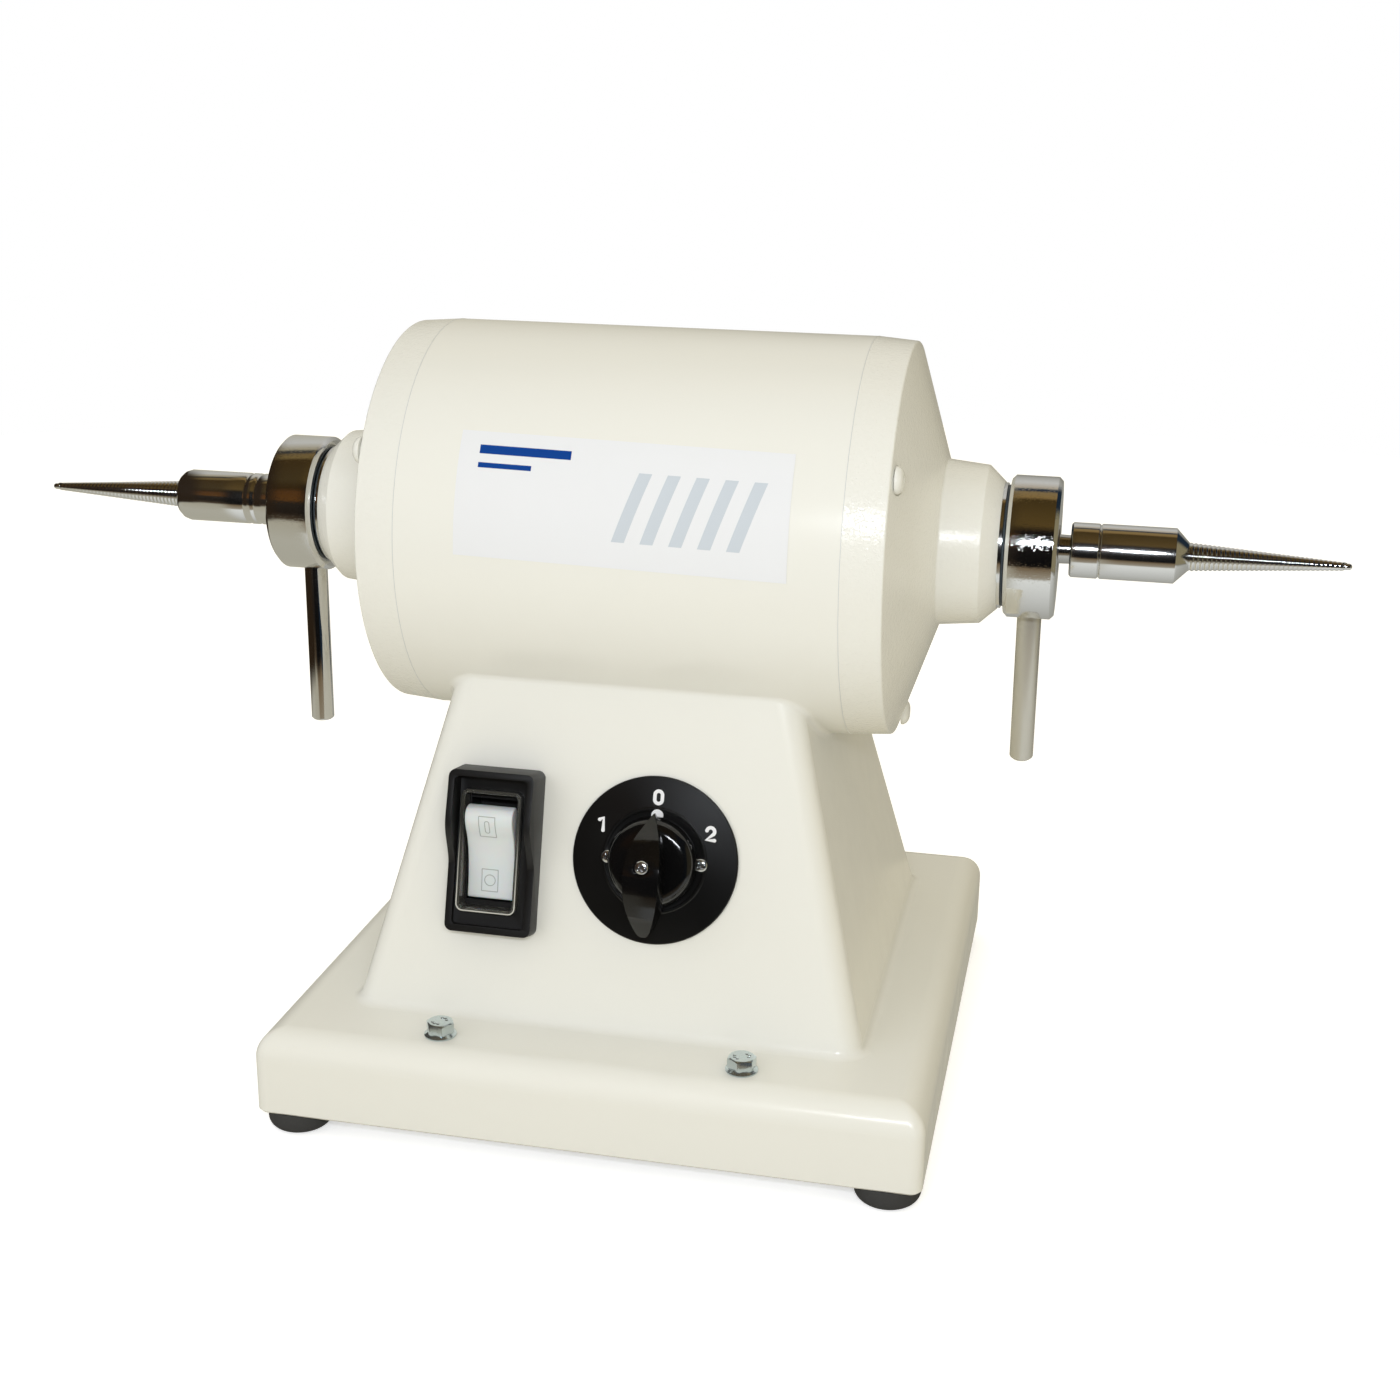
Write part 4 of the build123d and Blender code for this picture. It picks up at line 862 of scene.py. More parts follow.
# Anodised dial: flat black with a satin skin
DIAL_BLACK = GrainedFinish("satin_black_dial", "#090909", 0.34, ior=1.5, cell=0.5, depth=0.002)
# The dial's figures: thick white ink, barely glossy
PRINT_WHITE = Finish("white_screen_print", "#EDEEF0", 0.45)
# Splash frame: clear plastic that lets the black behind it through, a little smoky
CLEAR = Finish("smoke_clear_polycarbonate", "#A3A39C", 0.07, ior=1.58, transmission=0.88)
# Painted highlight: a thin pale line on the clear rim's top edge, pale low down and fading to painted shade
# higher up, standing in for the light that clear plastic carries to its edges
CLEAR_RIM_PAINTED_HIGHLIGHT = FadingFinish(
    "light_gathering_rim_edge", "#C6C6BE", 0.22, ior=1.58, second_colour="#3E3D38", low=92.0, high=122.0
)
# Dust and shade in the joint between housing and end shield
JOINT_LINE = Finish("shaded_enamel_joint", "#C9CCCC", 0.40, ior=1.5)
# Natural rocker moulding: milky, light goes a little way in
MILKY = Finish("milky_polyamide", "#DEE3E4", 0.26, ior=1.53, subsurface=0.25)
# The raised marks on the rocker catch a thin line of shade
MILKY_EDGE = Finish("milky_polyamide_edge", "#A3A7A4", 0.30, ior=1.53)
# The cam switch's body: dull grey thermoset with a dry surface
GREY_MOULDING = GrainedFinish("grey_thermoset", "#55575B", 0.5, cell=0.6, depth=0.01)
# The terminal block's soft ivory plastic
IVORY_MOULDING = GrainedFinish("ivory_polyamide", "#D8D1BC", 0.45, cell=0.6, depth=0.008)
# Bearing cages: translucent amber plastic
CAGE_MOULDING = Finish("amber_cage_polyamide", "#8C6A36", 0.4, subsurface=0.1)
# Rubber feet and the gland's seal: matt, with a dusty bloom
RUBBER = GrainedFinish("black_rubber", "#0B0B0B", 0.62, ior=1.52, cell=0.7, depth=0.02, sheen_change=0.1)
# The seal behind each release ring: rubber painted bluish grey, a painted reflection of the chrome on both
# sides of it
SEAL_RUBBER_PAINTED_REFLECTION = Finish("slate_seal_rubber", "#3E4850", 0.45, ior=1.52)
# The capacitor's smooth white can
CAN = Finish("white_capacitor_can", "#D9DADB", 0.35)
# Bottom cover and clip: zinc crystals on sheet steel
GALVANISED = SpangledFinish("galvanised_sheet", "#AEB4B4", 0.38, 1.0)
# The label: clear-coated film, glossier than the enamel, with two printed inks under the coat
LABEL_FILM = Finish("glossy_label_film", "#E9EBEE", 0.12, ior=1.49)
LABEL_BLUE = Finish("blue_label_print", "#0E4191", 0.14, ior=1.49)
LABEL_GREY = Finish("grey_label_print", "#CAD2DA", 0.13, ior=1.49)

SLOT_FINISHES: dict[str, Finish] = {
    "cream_enamel": ENAMEL,
    "chrome_plate": CHROME,
    "turned_steel": TURNED_STEEL,
    "shaft_steel": SHAFT_STEEL,
    "zinc_steel": ZINC,
    "bearing_steel": BEARING_STEEL,
    "spring_steel": SPRING_STEEL,
    "core_steel": LAMINATIONS,
    "copper_winding": WINDING,
    "rotor_aluminium": DIE_CAST,
    "black_gloss_plastic": GLOSS_BLACK,
    "black_matte_plastic": GRAIN_BLACK,
    "black_dial": DIAL_BLACK,
    "clear_plastic": CLEAR,
    "white_plastic": MILKY,
    "grey_plastic": GREY_MOULDING,
    "ivory_plastic": IVORY_MOULDING,
    "cage_plastic": CAGE_MOULDING,
    "black_rubber": RUBBER,
    "capacitor_can": CAN,
    "galvanised_sheet": GALVANISED,
}


@dataclass
class Machine:
    """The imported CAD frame, and what every sub-assembly needs from it."""

    bodies: dict[str, Piece] = field(default_factory=dict)
    nodes: dict[str, Piece] = field(default_factory=dict)
    slots: dict[str, str] = field(default_factory=dict)
    body_of: dict[str, str] = field(default_factory=dict)

    @classmethod
    def load(cls) -> Machine:
        """Load the CAD frame and give every node the finish of its slot.

        Returns:
            The machine.
        """
        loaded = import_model()
        record = loaded["record"]
        machine = cls(loaded["bodies"], loaded["nodes"])
        machine.slots = {part["node"]: part["material_slot"] for part in record["subparts"]}
        for body, names in record["behaviour"]["bodies"].items():
            for name in names:
                machine.body_of[name] = body
        for name, node in machine.nodes.items():
            node.data.materials.clear()
            node.data.materials.append(SLOT_FINISHES[machine.slots[name]].material())
        return machine

    def paint(self, piece: Piece, finish: Finish) -> None:
        """Give a piece its finish and log it.

        Args:
            piece: the piece.
            finish: its finish.
        """
        piece.data.materials.clear()
        piece.data.materials.append(finish.material())
        LOG.info("%s: %d faces", piece.name, len(piece.data.polygons))

    def dress(self, piece: Piece, finish: Finish, *nodes: str) -> None:
        """Give a piece its finish and let it stand for CAD nodes.

        Args:
            piece: the finished piece.
            finish: its finish.
            nodes: the nodes that it stands for, all on one body.
        """
        self.paint(piece, finish)
        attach(piece, self.body_of[nodes[0]])
        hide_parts(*nodes)

    def add(self, piece: Piece, finish: Finish, body: str, slot: str) -> None:
        """Give a piece that no node stands for its finish and its body.

        Args:
            piece: the finished piece.
            finish: its finish.
            body: the body that it rides on.
            slot: the record's slot that it would take its finish from; not used.
        """
        self.paint(piece, finish)
        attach(piece, body)

    def skin_of(self, node: str, name: str) -> Piece:
        """A copy of a node's mesh, merged, with the CAD's own normals put back on its corners.

        Args:
            node: the CAD node.
            name: the copy's name.

        Returns:
            The copy, in place.
        """
        source = self.nodes[node].data
        piece = bpy.data.objects.new(name, source.copy())
        bpy.context.collection.objects.link(piece)
        close_seams(piece, COPY_SEAM)
        choose(piece)
        bpy.ops.object.shade_smooth()
        normals = [corner.vector.copy() for corner in source.corner_normals]
        known = dict(zip(self.corner_keys(source), normals))
        flat = Vector((0, 0, 0))
        piece.data.normals_split_custom_set([known.get(key, flat) for key in self.corner_keys(piece.data)])
        return piece

    def corner_keys(self, mesh: bpy.types.Mesh) -> list[tuple[frozenset[Triple], Triple]]:
        """For each corner of a mesh, the places of its face's corners and its own place.

        Args:
            mesh: the mesh.

        Returns:
            One key a corner, in the mesh's own order.
        """
        keys = []
        for face in mesh.polygons:
            places = [tuple(mesh.vertices[at].co) for at in face.vertices]
            keys += [(frozenset(places), spot) for spot in places]
        return keys


@dataclass
class Castings:
    """The enamelled housing and its two end shields with their screws."""

    screw_seat: float = 103.75
    screw_circle: float = 73.0
    screw_head: tuple[Point, ...] = ((5.3, 0.0), (5.3, 0.9), (4.7, 2.0), (3.6, 2.8), (2.4, 3.2), (0.0, 3.2))
    screw_r: float = 3.0
    screw_length: float = 50.0
    screw_angles: tuple[float, ...] = (30.0, 150.0, 270.0)
    socket_r: float = 1.9
    socket_t: float = 3.6
    spot_r: float = 5.7
    spot_depth: float = 12.0
    hole_depth: float = 20.0
    seam: float = 86.5
    seam_width: float = 0.22
    seam_low: float = 0.6
    seam_proud: float = 0.04
    register_back: float = 80.0
    register_r: float = 73.9
    bore_r: float = 69.0
    wall: float = 5.5
    cone_start: float = 103.4
    cone_foot: float = 116.0
    cone_foot_r: float = 33.0
    rim_round: float = 2.2
    hub_r: float = 31.6
    hub_root_round: float = 2.5
    hub_edge: float = 133.7
    hub_edge_round: float = 1.0
    hub_nose: float = 140.2
    hub_nose_r: float = 25.5
    seat_r: float = 23.5
    seat_back: float = 116.0
    seat_shoulder_r: float = 29.0
    seat_end: dict[Side, float] = field(default_factory=lambda: {Side.LEFT: 132.2, Side.RIGHT: 131.0})
    sleeve_r: float = 18.5
    turned_steps: int = 192

    def build(self, machine: Machine) -> None:
        """Build and dress the castings.

        Args:
            machine: the machine whose nodes it stands for.
        """
        machine.dress(machine.skin_of("motor_housing", "housing_casting"), ENAMEL, "motor_housing")
        for side in Side:
            machine.dress(self.shield(side), SHIELD_ENAMEL, "end_shield_" + side.word)
            machine.dress(self.screws(side), SHIELD_ENAMEL, "end_shield_screws_" + side.word)
            machine.add(self.joint_line(side), JOINT_LINE, "motor_body", "cream_enamel")

    def cone(self, radius: float) -> float:
        """Place along the spindle of the shield's cone at a radius."""
        share = (BARREL_R - radius) / (BARREL_R - self.cone_foot_r)
        return self.cone_start + share * (self.cone_foot - self.cone_start)

    def shield(self, side: Side) -> Piece:
        """Cone and hub turned in one, with holes and flat spots for the screws.

        Args:
            side: the end of the machine that it belongs to.

        Returns:
            The shield, in place.
        """
        seam = (self.seam, BARREL_R)
        rim = (self.cone(BARREL_R), BARREL_R)
        root = (self.cone(self.hub_r), self.hub_r)
        edge = (self.hub_edge, self.hub_r)
        nose = (self.hub_nose, self.hub_nose_r)
        seat_end = self.seat_end[side]
        outline = [
            seam, *rounded(seam, rim, root, self.rim_round), *rounded(rim, root, edge, self.hub_root_round),
            *rounded(root, edge, nose, self.hub_edge_round), nose, (self.hub_nose, self.sleeve_r),
            (seat_end, self.sleeve_r), (seat_end, self.seat_r), (self.seat_back, self.seat_r),
            (self.seat_back, self.seat_shoulder_r), (root[0] - self.wall, self.hub_r),
            (self.cone(self.bore_r) - self.wall, self.bore_r), (self.register_back, self.bore_r),
            (self.register_back, self.register_r), (self.seam, self.register_r), seam,
        ]
        shield = turn_on_spindle("end_shield_casting_" + side.word, outline, side, self.turned_steps)
        hole_r = self.screw_r + CLEARANCE
        hole = [
            (0, -self.hole_depth), (hole_r, -self.hole_depth), (hole_r, 0), (self.spot_r, 0),
            (self.spot_r, self.spot_depth), (0, self.spot_depth),
        ]
        for angle in self.screw_angles:
            carve(shield, lathe("screw_hole", hole, self.screw_frame(side, angle), 40))
        soften(shield, 0.0, limit=28.0)
        return shield

    def screw_frame(self, side: Side, angle: float) -> Matrix:
        """A frame under a screw's head, with Z pointing out along the spindle.

        Args:
            side: the end of the machine that it belongs to.
            angle: degrees round the spindle, from the bench's depth upwards.

        Returns:
            The frame as a matrix.
        """
        turn = math.radians(angle)
        across, up = self.screw_circle * math.cos(turn), self.screw_circle * math.sin(turn)
        origin = place(side.value * self.screw_seat, across, SHAFT_Z + up)
        return frame_at(origin, Vector((0, 0, 1)), Vector((side.value, 0, 0)))

    def joint_line(self, side: Side) -> Piece:
        """The fine line where the housing meets its end shield.

        Args:
            side: the end of the machine that it belongs to.

        Returns:
            The line, a thin ring round the barrel.
        """
        half = self.seam_width / 2
        ring = tube(BARREL_R - self.seam_low, BARREL_R + self.seam_proud, self.seam - half, self.seam + half)
        return lathe("shield_joint_" + side.word, ring, spindle_frame(side), self.turned_steps)

    def screws(self, side: Side) -> Piece:
        """Three round-headed socket screws, painted over with the shield.

        Args:
            side: the end of the machine that it belongs to.

        Returns:
            The three screws as one piece, in place.
        """
        shank = [(0, -self.screw_length), (self.screw_r, -self.screw_length), (self.screw_r, 0)]
        screw = lathe("shield_screw", [*shank, *self.screw_head], AT_ORIGIN, 32)
        mouth = Matrix.Translation(place(0, 0, self.screw_head[-1][1]))
        socket = prism("socket", hexagon(self.socket_r), self.socket_t, mouth)
        carve(screw, socket)
        soften(screw, 0.15)
        copies = [copy_of(screw, self.screw_frame(side, angle)) for angle in self.screw_angles]
        bpy.data.objects.remove(screw)
        return joined("shield_screws_" + side.word, copies)


@dataclass
class ReleaseEnd:
    """What sits on each hub: fixed sleeve, rubber seal, release ring, its lever and the ejector disc."""

    sleeve_back: float = 134.6
    sleeve_front: float = 158.2
    sleeve_bore: float = 10.0
    spigot_r: float = 18.5
    guide_r: float = 20.0
    flange_back: float = 140.2
    flange_front: float = 141.5
    flange_r: float = 25.0
    seal_front: float = 142.6
    seal_in: float = 22.0
    seal_out: float = 24.2
    ring_back: float = 142.9
    ring_front: float = 162.7
    ring_r: float = 28.3
    ring_chamfer: float = 1.5
    ring_bore: float = 20.3
    web_back: float = 158.5
    web_front: float = 160.4
    web_r: float = 15.0
    nose_hole: float = 9.7
    lever_hole: Point = (17.0, 40.0)
    ejector_bore: float = 6.6
    ejector_r: float = 14.7
    ejector_step: float = 160.1
    ejector_nose_r: float = 9.4
    ejector_front: float = 162.9
    lever_x: float = 152.8
    lever_r: float = 4.9
    lever_root: float = 20.5
    lever_end: float = 97.4
    lever_chamfer: float = 0.8
    pin_r: float = 3.0
    pin_end: float = 14.8
    slot_depth: Point = (12.0, 22.0)
    slot_steps: int = 16
    slot_turn: float = 60.0
    slot_travel: float = 4.1
    lean: dict[Side, float] = field(default_factory=lambda: {Side.LEFT: 0.0, Side.RIGHT: 12.0})

    def build(self, machine: Machine) -> None:
        """Build and dress both ends.

        Args:
            machine: the machine whose nodes it stands for.
        """
        for side in Side:
            word = side.word
            machine.dress(self.sleeve(side), CHROME, "cam_sleeve_" + word)
            # The seal's bluish grey is a painted reflection of the chrome beside it
            machine.dress(self.seal(side), SEAL_RUBBER_PAINTED_REFLECTION, "sleeve_seal_" + word)
            machine.dress(self.ring(side), CHROME_RING, "release_ring_" + word)
            bar_finish = CHROME_BAR if side is Side.LEFT else LEVER_STEEL
            machine.dress(self.lever(side), bar_finish, "release_lever_" + word)
            machine.dress(self.ejector(side), TURNED_STEEL, "ejector_disc_" + word)

    def sleeve(self, side: Side) -> Piece:
        """Flanged guide tube, pressed into the hub, with a spiral slot for the lever's pin.

        Args:
            side: the end of the machine that it belongs to.

        Returns:
            The sleeve, in place.
        """
        outline = [
            (self.sleeve_back, self.sleeve_bore), (self.sleeve_back, self.spigot_r),
            (self.flange_back, self.spigot_r), (self.flange_back, self.flange_r),
            (self.flange_front, self.flange_r), (self.flange_front, self.guide_r),
            (self.sleeve_front, self.guide_r), (self.sleeve_front, self.sleeve_bore),
            (self.sleeve_back, self.sleeve_bore),
        ]
        sleeve = turn_on_spindle("guide_sleeve_" + side.word, outline, side)
        pin = rod(self.pin_r + CLEARANCE, *self.slot_depth)
        for step in range(self.slot_steps):
            share = step / (self.slot_steps - 1)
            frame = self.lever_frame(side, share * self.slot_turn, share * self.slot_travel)
            carve(sleeve, lathe("pin_slot", pin, frame, 24))
        soften(sleeve, 0.2, 2)
        return sleeve

    def seal(self, side: Side) -> Piece:
        """Rubber ring of rounded section on the sleeve's flange.

        Args:
            side: the end of the machine that it belongs to.

        Returns:
            The seal, in place.
        """
        section = tube(self.seal_in, self.seal_out, self.flange_front, self.seal_front)
        seal = lathe("flange_seal_" + side.word, section, spindle_frame(side))
        soften(seal, 0.45, 3)
        return seal

    def lever_frame(self, side: Side, turn: float = 0.0, travel: float = 0.0) -> Matrix:
        """A frame on the spindle whose Z axis runs down the lever.

        Args:
            side: the spindle's side.
            turn: degrees that the lever is turned from rest.
            travel: distance that its pin has moved out.

        Returns:
            The frame as a matrix.
        """
        lean = math.radians(self.lean[side] - turn)
        down = Vector((0, math.sin(lean), -math.cos(lean)))
        return frame_at(place(side.value * (self.lever_x + travel), 0, SHAFT_Z), Vector((1, 0, 0)), down)

    def ring(self, side: Side) -> Piece:
        """Polished ring with chamfered rims, bored for the lever.

        Args:
            side: the end of the machine that it belongs to.

        Returns:
            The ring, in place.
        """
        edge = self.ring_chamfer
        outline = [
            (self.ring_back, self.ring_bore), (self.ring_back, self.ring_r - edge),
            (self.ring_back + edge, self.ring_r), (self.ring_front - edge, self.ring_r),
            (self.ring_front, self.ring_r - edge), (self.ring_front, self.nose_hole),
            (self.web_front, self.nose_hole), (self.web_front, self.web_r), (self.web_back, self.web_r),
            (self.web_back, self.ring_bore), (self.ring_back, self.ring_bore),
        ]
        ring = turn_on_spindle("release_collar_" + side.word, outline, side, 160)
        hole = rod(self.lever_r + CLEARANCE, *self.lever_hole)
        carve(ring, lathe("lever_hole", hole, self.lever_frame(side), 48))
        soften(ring, 0.25, 2, 25)
        return ring

    def lever(self, side: Side) -> Piece:
        """Round bar with a chamfered end and the pin that runs in the sleeve's slot.

        Args:
            side: the end of the machine that it belongs to.

        Returns:
            The lever, in place and at rest.
        """
        outline = [
            (0, self.pin_end), (self.pin_r, self.pin_end), (self.pin_r, self.lever_root),
            (self.lever_r, self.lever_root), (self.lever_r, self.lever_end - self.lever_chamfer),
            (self.lever_r - self.lever_chamfer, self.lever_end), (0, self.lever_end),
        ]
        bar = lathe("lever_bar_" + side.word, outline, self.lever_frame(side), 64)
        soften(bar, 0.15, 2, 25)
        return bar

    def ejector(self, side: Side) -> Piece:
        """Stepped disc whose nose shows in the ring's front hole.

        Args:
            side: the end of the machine that it belongs to.

        Returns:
            The disc, in place and at rest.
        """
        outline = [
            (self.web_back, self.ejector_bore), (self.web_back, self.ejector_r),
            (self.ejector_step, self.ejector_r), (self.ejector_step, self.ejector_nose_r),
            (self.ejector_front, self.ejector_nose_r), (self.ejector_front, self.ejector_bore),
            (self.web_back, self.ejector_bore),
        ]
        disc = turn_on_spindle("ejector_" + side.word, outline, side)
        soften(disc, 0.2)
        return disc


@dataclass(frozen=True)
class Groove:
    """A groove round a collar: its place, half its width at the top and at the floor, and its depth."""

    at: float
    half: float
    floor_half: float
    depth: float


@dataclass
class Spindles:
    """The shaft and the two tapered mandrels with their opposite threads."""

    back: float = 167.3
    front: float = 208.6
    collar_r: float = 10.9
    collar_edge: float = 0.8
    left_shoulder: tuple[Point, ...] = ((208.0, 10.9), (210.2, 10.2), (211.8, 8.8), (212.7, 7.0))
    socket_r: float = 5.8
    socket_end: Point = (199.0, 4.93)
    socket_floor: Point = (201.0, 4.9)
    grooves: dict[Side, tuple[Groove, ...]] = field(
        default_factory=lambda: {
            Side.LEFT: (Groove(175.6, 1.15, 0.5, 0.3), Groove(180.4, 1.15, 0.5, 0.3)),
            Side.RIGHT: (Groove(178.7, 0.6, 0.05, 0.6),),
        }
    )
    core_step: float = 0.4
    thread_foot: float = 212.9
    thread_foot_r: float = 5.7
    thread_tip: float = 274.5
    thread_tip_r: float = 1.3
    core_gap: float = 0.3
    tip_back: tuple[Point, ...] = ((3.4, 1.0), (3.0, 1.3), (1.0, 1.25), (0.35, 0.9), (0.0, 0.0))
    pitch: float = 1.75
    thread_depth: float = 0.48
    thread_end: float = 2.4
    profile_steps: int = 8
    steps_per_turn: int = 40

    def build(self, machine: Machine) -> None:
        """Build and dress the shaft and the mandrels.

        Args:
            machine: the machine whose nodes it stands for.
        """
        machine.dress(machine.skin_of("motor_shaft", "spindle_shaft"), SHAFT_STEEL, "motor_shaft")
        for side in Side:
            parts = [self.body(side), self.thread(side)]
            machine.dress(joined("mandrel_" + side.word, parts), CHROME, "polishing_mandrel_" + side.word)

    def taper_r(self, x: float) -> float:
        """Radius over the thread's crests at a place along the spindle."""
        share = (x - self.thread_foot) / (self.thread_tip - self.thread_foot)
        return self.thread_foot_r + share * (self.thread_tip_r - self.thread_foot_r)

    def body(self, side: Side) -> Piece:
        """Collar with its grooves, the short cone, and the core under the thread.

        Args:
            side: the end of the machine that it belongs to.

        Returns:
            The piece, in place.
        """
        top, edge = self.collar_r, self.collar_edge
        outline = [(self.back, self.socket_r), (self.back, top - edge), (self.back + edge, top)]
        for groove in self.grooves[side]:
            outline += [
                (groove.at - groove.half, top), (groove.at - groove.floor_half, top - groove.depth),
                (groove.at + groove.floor_half, top - groove.depth), (groove.at + groove.half, top),
            ]
        if side is Side.LEFT:
            outline += self.left_shoulder
        else:
            outline += [(self.front - edge, top), (self.front, top - edge)]
        core_r = self.thread_foot_r - self.thread_depth - self.core_gap
        outline += [(self.thread_foot, self.thread_foot_r), (self.thread_foot + self.core_step, core_r)]
        outline += [(self.thread_tip - back, radius) for back, radius in self.tip_back]
        outline += [(self.socket_floor[0], 0), self.socket_floor, self.socket_end, (self.back, self.socket_r)]
        collar = turn_on_spindle("collar", outline, side, 128)
        soften(collar, 0.12, 2, 25)
        return collar

    def thread(self, side: Side) -> Piece:
        """One thread profile screwed along the spindle and drawn in to its taper.

        Args:
            side: the end of the machine that it belongs to.

        Returns:
            The thread, in place round the core.
        """
        start = self.thread_foot - self.pitch
        turns = math.floor((self.thread_tip - self.thread_end - start) / self.pitch)
        length = turns * self.pitch
        crest_r = self.taper_r(start)
        share = self.taper_r(start + length) / crest_r
        points = []
        for index in range(self.profile_steps + 1):
            share_of_pitch = index / self.profile_steps
            wave = 0.5 - 0.5 * math.cos(2 * math.pi * share_of_pitch)
            points.append((crest_r - self.thread_depth * (1 - wave ** 0.8), share_of_pitch * self.pitch))
        profile = wire("thread", points)
        modify(
            profile, "SCREW", axis="Z", angle=side.value * 2 * math.pi, screw_offset=mm(self.pitch),
            iterations=turns, steps=self.steps_per_turn, render_steps=self.steps_per_turn,
            use_merge_vertices=True, merge_threshold=mm(SEAM),
        )
        modify(profile, "SIMPLE_DEFORM", deform_method="TAPER", deform_axis="Z", factor=share - 1)
        with Editing(profile, everything=False):
            bpy.ops.mesh.select_non_manifold()
            bpy.ops.mesh.edge_face_add()
        close_seams(profile)
        soften(profile, 0.0, limit=60)
        return settle(profile, spindle_frame(side) @ Matrix.Translation((0, 0, mm(start))))


@dataclass
class SpeedSwitch:
    """Dial with its figures, the lens-shaped knob and their screws."""

    x: float = 17.6
    up: float = 70.2
    dial_r: float = 33.3
    dial_bore: float = 6.0
    dial_t: float = 1.5
    dial_edge: float = 0.4
    bead: tuple[Point, ...] = ((21.2, 0.0), (20.8, 0.35), (20.0, 0.35), (19.6, 0.0))
    screw_x: float = 18.8
    figure_circle: float = 25.0
    stroke_r: float = 0.74
    stroke_share: float = 0.12
    zero_r: float = 1.5
    zero_end: float = 0.95
    hook_r: float = 1.55
    # The first and last angle of the 2's hook and its foot line, and the stroke of the 1
    hook_turns: Point = (170.0, -40.0)
    two_foot: tuple[Point, ...] = ((-1.6, -2.45), (1.7, -2.45))
    one: tuple[Point, ...] = ((-1.5, 1.7), (0.1, 2.45), (0.1, -2.45))
    figure_turn: float = 60.0
    dot_up: float = 17.9
    # The dot's radius, and the heights of its foot and top over the dial
    dot: Triple = (2.4, -0.1, 0.42)
    knob_r: float = 17.9
    skirt_back: float = 4.4
    skirt: tuple[Point, ...] = (
        (17.9, 5.0), (17.7, 7.0), (17.1, 9.2), (16.0, 11.0), (14.4, 12.1), (12.4, 12.5), (0.0, 12.6),
    )
    # Half the grip seen from the front, as (half width, place up the face), from its nose to its tail
    grip_plan: tuple[Point, ...] = (
        (0.15, 19.2), (2.3, 15.4), (4.7, 10.6), (6.3, 5.0), (7.0, -2.0), (6.9, -9.0), (6.0, -16.0),
        (4.4, -22.0), (2.9, -26.2), (1.6, -28.1), (0.5, -28.5),
    )
    # The grip's back line and its underside seen from the side, as (place up the face, height)
    grip_crown: tuple[Point, ...] = (
        (19.9, 6.9), (15.0, 12.6), (8.5, 19.5), (0.0, 24.2), (-9.0, 24.3), (-18.0, 21.3), (-29.2, 13.4),
    )
    grip_under: tuple[Point, ...] = ((-29.2, 9.4), (-17.5, 5.9), (19.9, 5.9))
    recess_r: float = 3.3
    recess_top: float = 30.0
    screw_seat: float = 23.4
    # Heights and widths of what the grip is cut from, well past its own
    plan_stock: float = 60.0
    side_stock: float = 40.0

    def build(self, machine: Machine) -> None:
        """Build and dress the speed switch.

        Args:
            machine: the machine whose nodes it stands for.
        """
        frame = face_frame(self.x, self.up)
        machine.dress(self.dial(frame), DIAL_BLACK, "dial_plate")
        machine.add(self.figures(), PRINT_WHITE, "motor_body", "black_dial")
        machine.dress(self.knob(frame), GLOSS_BLACK, "switch_knob")
        machine.dress(self.knob_screw(), NICKEL, "knob_screw")
        machine.dress(self.dial_screws(), NICKEL, "dial_screws")

    def dial(self, frame: Matrix) -> Piece:
        """Thin plate with a chamfered rim and a low bead round the knob.

        Args:
            frame: the switch's frame on the front face.

        Returns:
            The dial, in place.
        """
        top, edge, bore = self.dial_t, self.dial_edge, self.dial_bore
        outline = [
            (bore, 0), (self.dial_r, 0), (self.dial_r, top - edge), (self.dial_r - edge, top),
            *((radius, top + height) for radius, height in self.bead), (bore, top), (bore, 0),
        ]
        dial = lathe("speed_dial", outline, frame, 160)
        soften(dial, 0.1, 2, 20)
        return dial

    def stroke(self, points: Sequence[Point], frame: Matrix) -> Piece:
        """A flat printed stroke along a line; one that doesn't end where it starts has round ends.

        Args:
            points: the line's points.
            frame: where the figure's middle lies on the dial.

        Returns:
            The stroke, in place.
        """
        closed = points[0] == points[-1]
        line = wire("stroke", points[:-1] if closed else points)
        choose(line)
        bpy.ops.object.convert(target="CURVE")
        line.data.bevel_depth = mm(self.stroke_r)
        line.data.bevel_resolution = 3
        line.data.use_fill_caps = True
        line.data.splines[0].use_cyclic_u = closed
        bpy.ops.object.convert(target="MESH")
        parts = [bpy.context.object]
        for x, y in () if closed else (points[0], points[-1]):
            deselect()
            bpy.ops.mesh.primitive_uv_sphere_add(
                segments=24, ring_count=12, radius=mm(self.stroke_r), location=(mm(x), 0, mm(y))
            )
            parts.append(bpy.context.object)
        figure = joined("stroke", parts)
        flat = Matrix.Diagonal((1.0, 1.0, self.stroke_share, 1.0))
        return settle(figure, frame @ flat @ Matrix.Rotation(math.radians(-90), 4, "X"))

    def figures(self) -> Piece:
        """The figures 1, 0 and 2, and the dot that the knob points at.

        Returns:
            The figures and the dot as one piece, in place.
        """
        zero = arc((0, self.zero_end), self.zero_r, 0, 180, 12)
        zero += arc((0, -self.zero_end), self.zero_r, 180, 360, 12)
        two = [*arc((0, self.zero_end), self.hook_r, *self.hook_turns, 14), *self.two_foot]
        parts = []
        for setting, points in enumerate((self.one, zero + zero[:1], two), -1):
            turn = math.radians(setting * self.figure_turn)
            across, up = self.figure_circle * math.sin(turn), self.figure_circle * math.cos(turn)
            parts.append(self.stroke(points, face_frame(self.x + across, self.up + up, self.dial_t)))
        spot = face_frame(self.x, self.up + self.dot_up, self.dial_t)
        parts.append(lathe("dot", rod(*self.dot), spot, 40))
        return joined("dial_figures", parts)

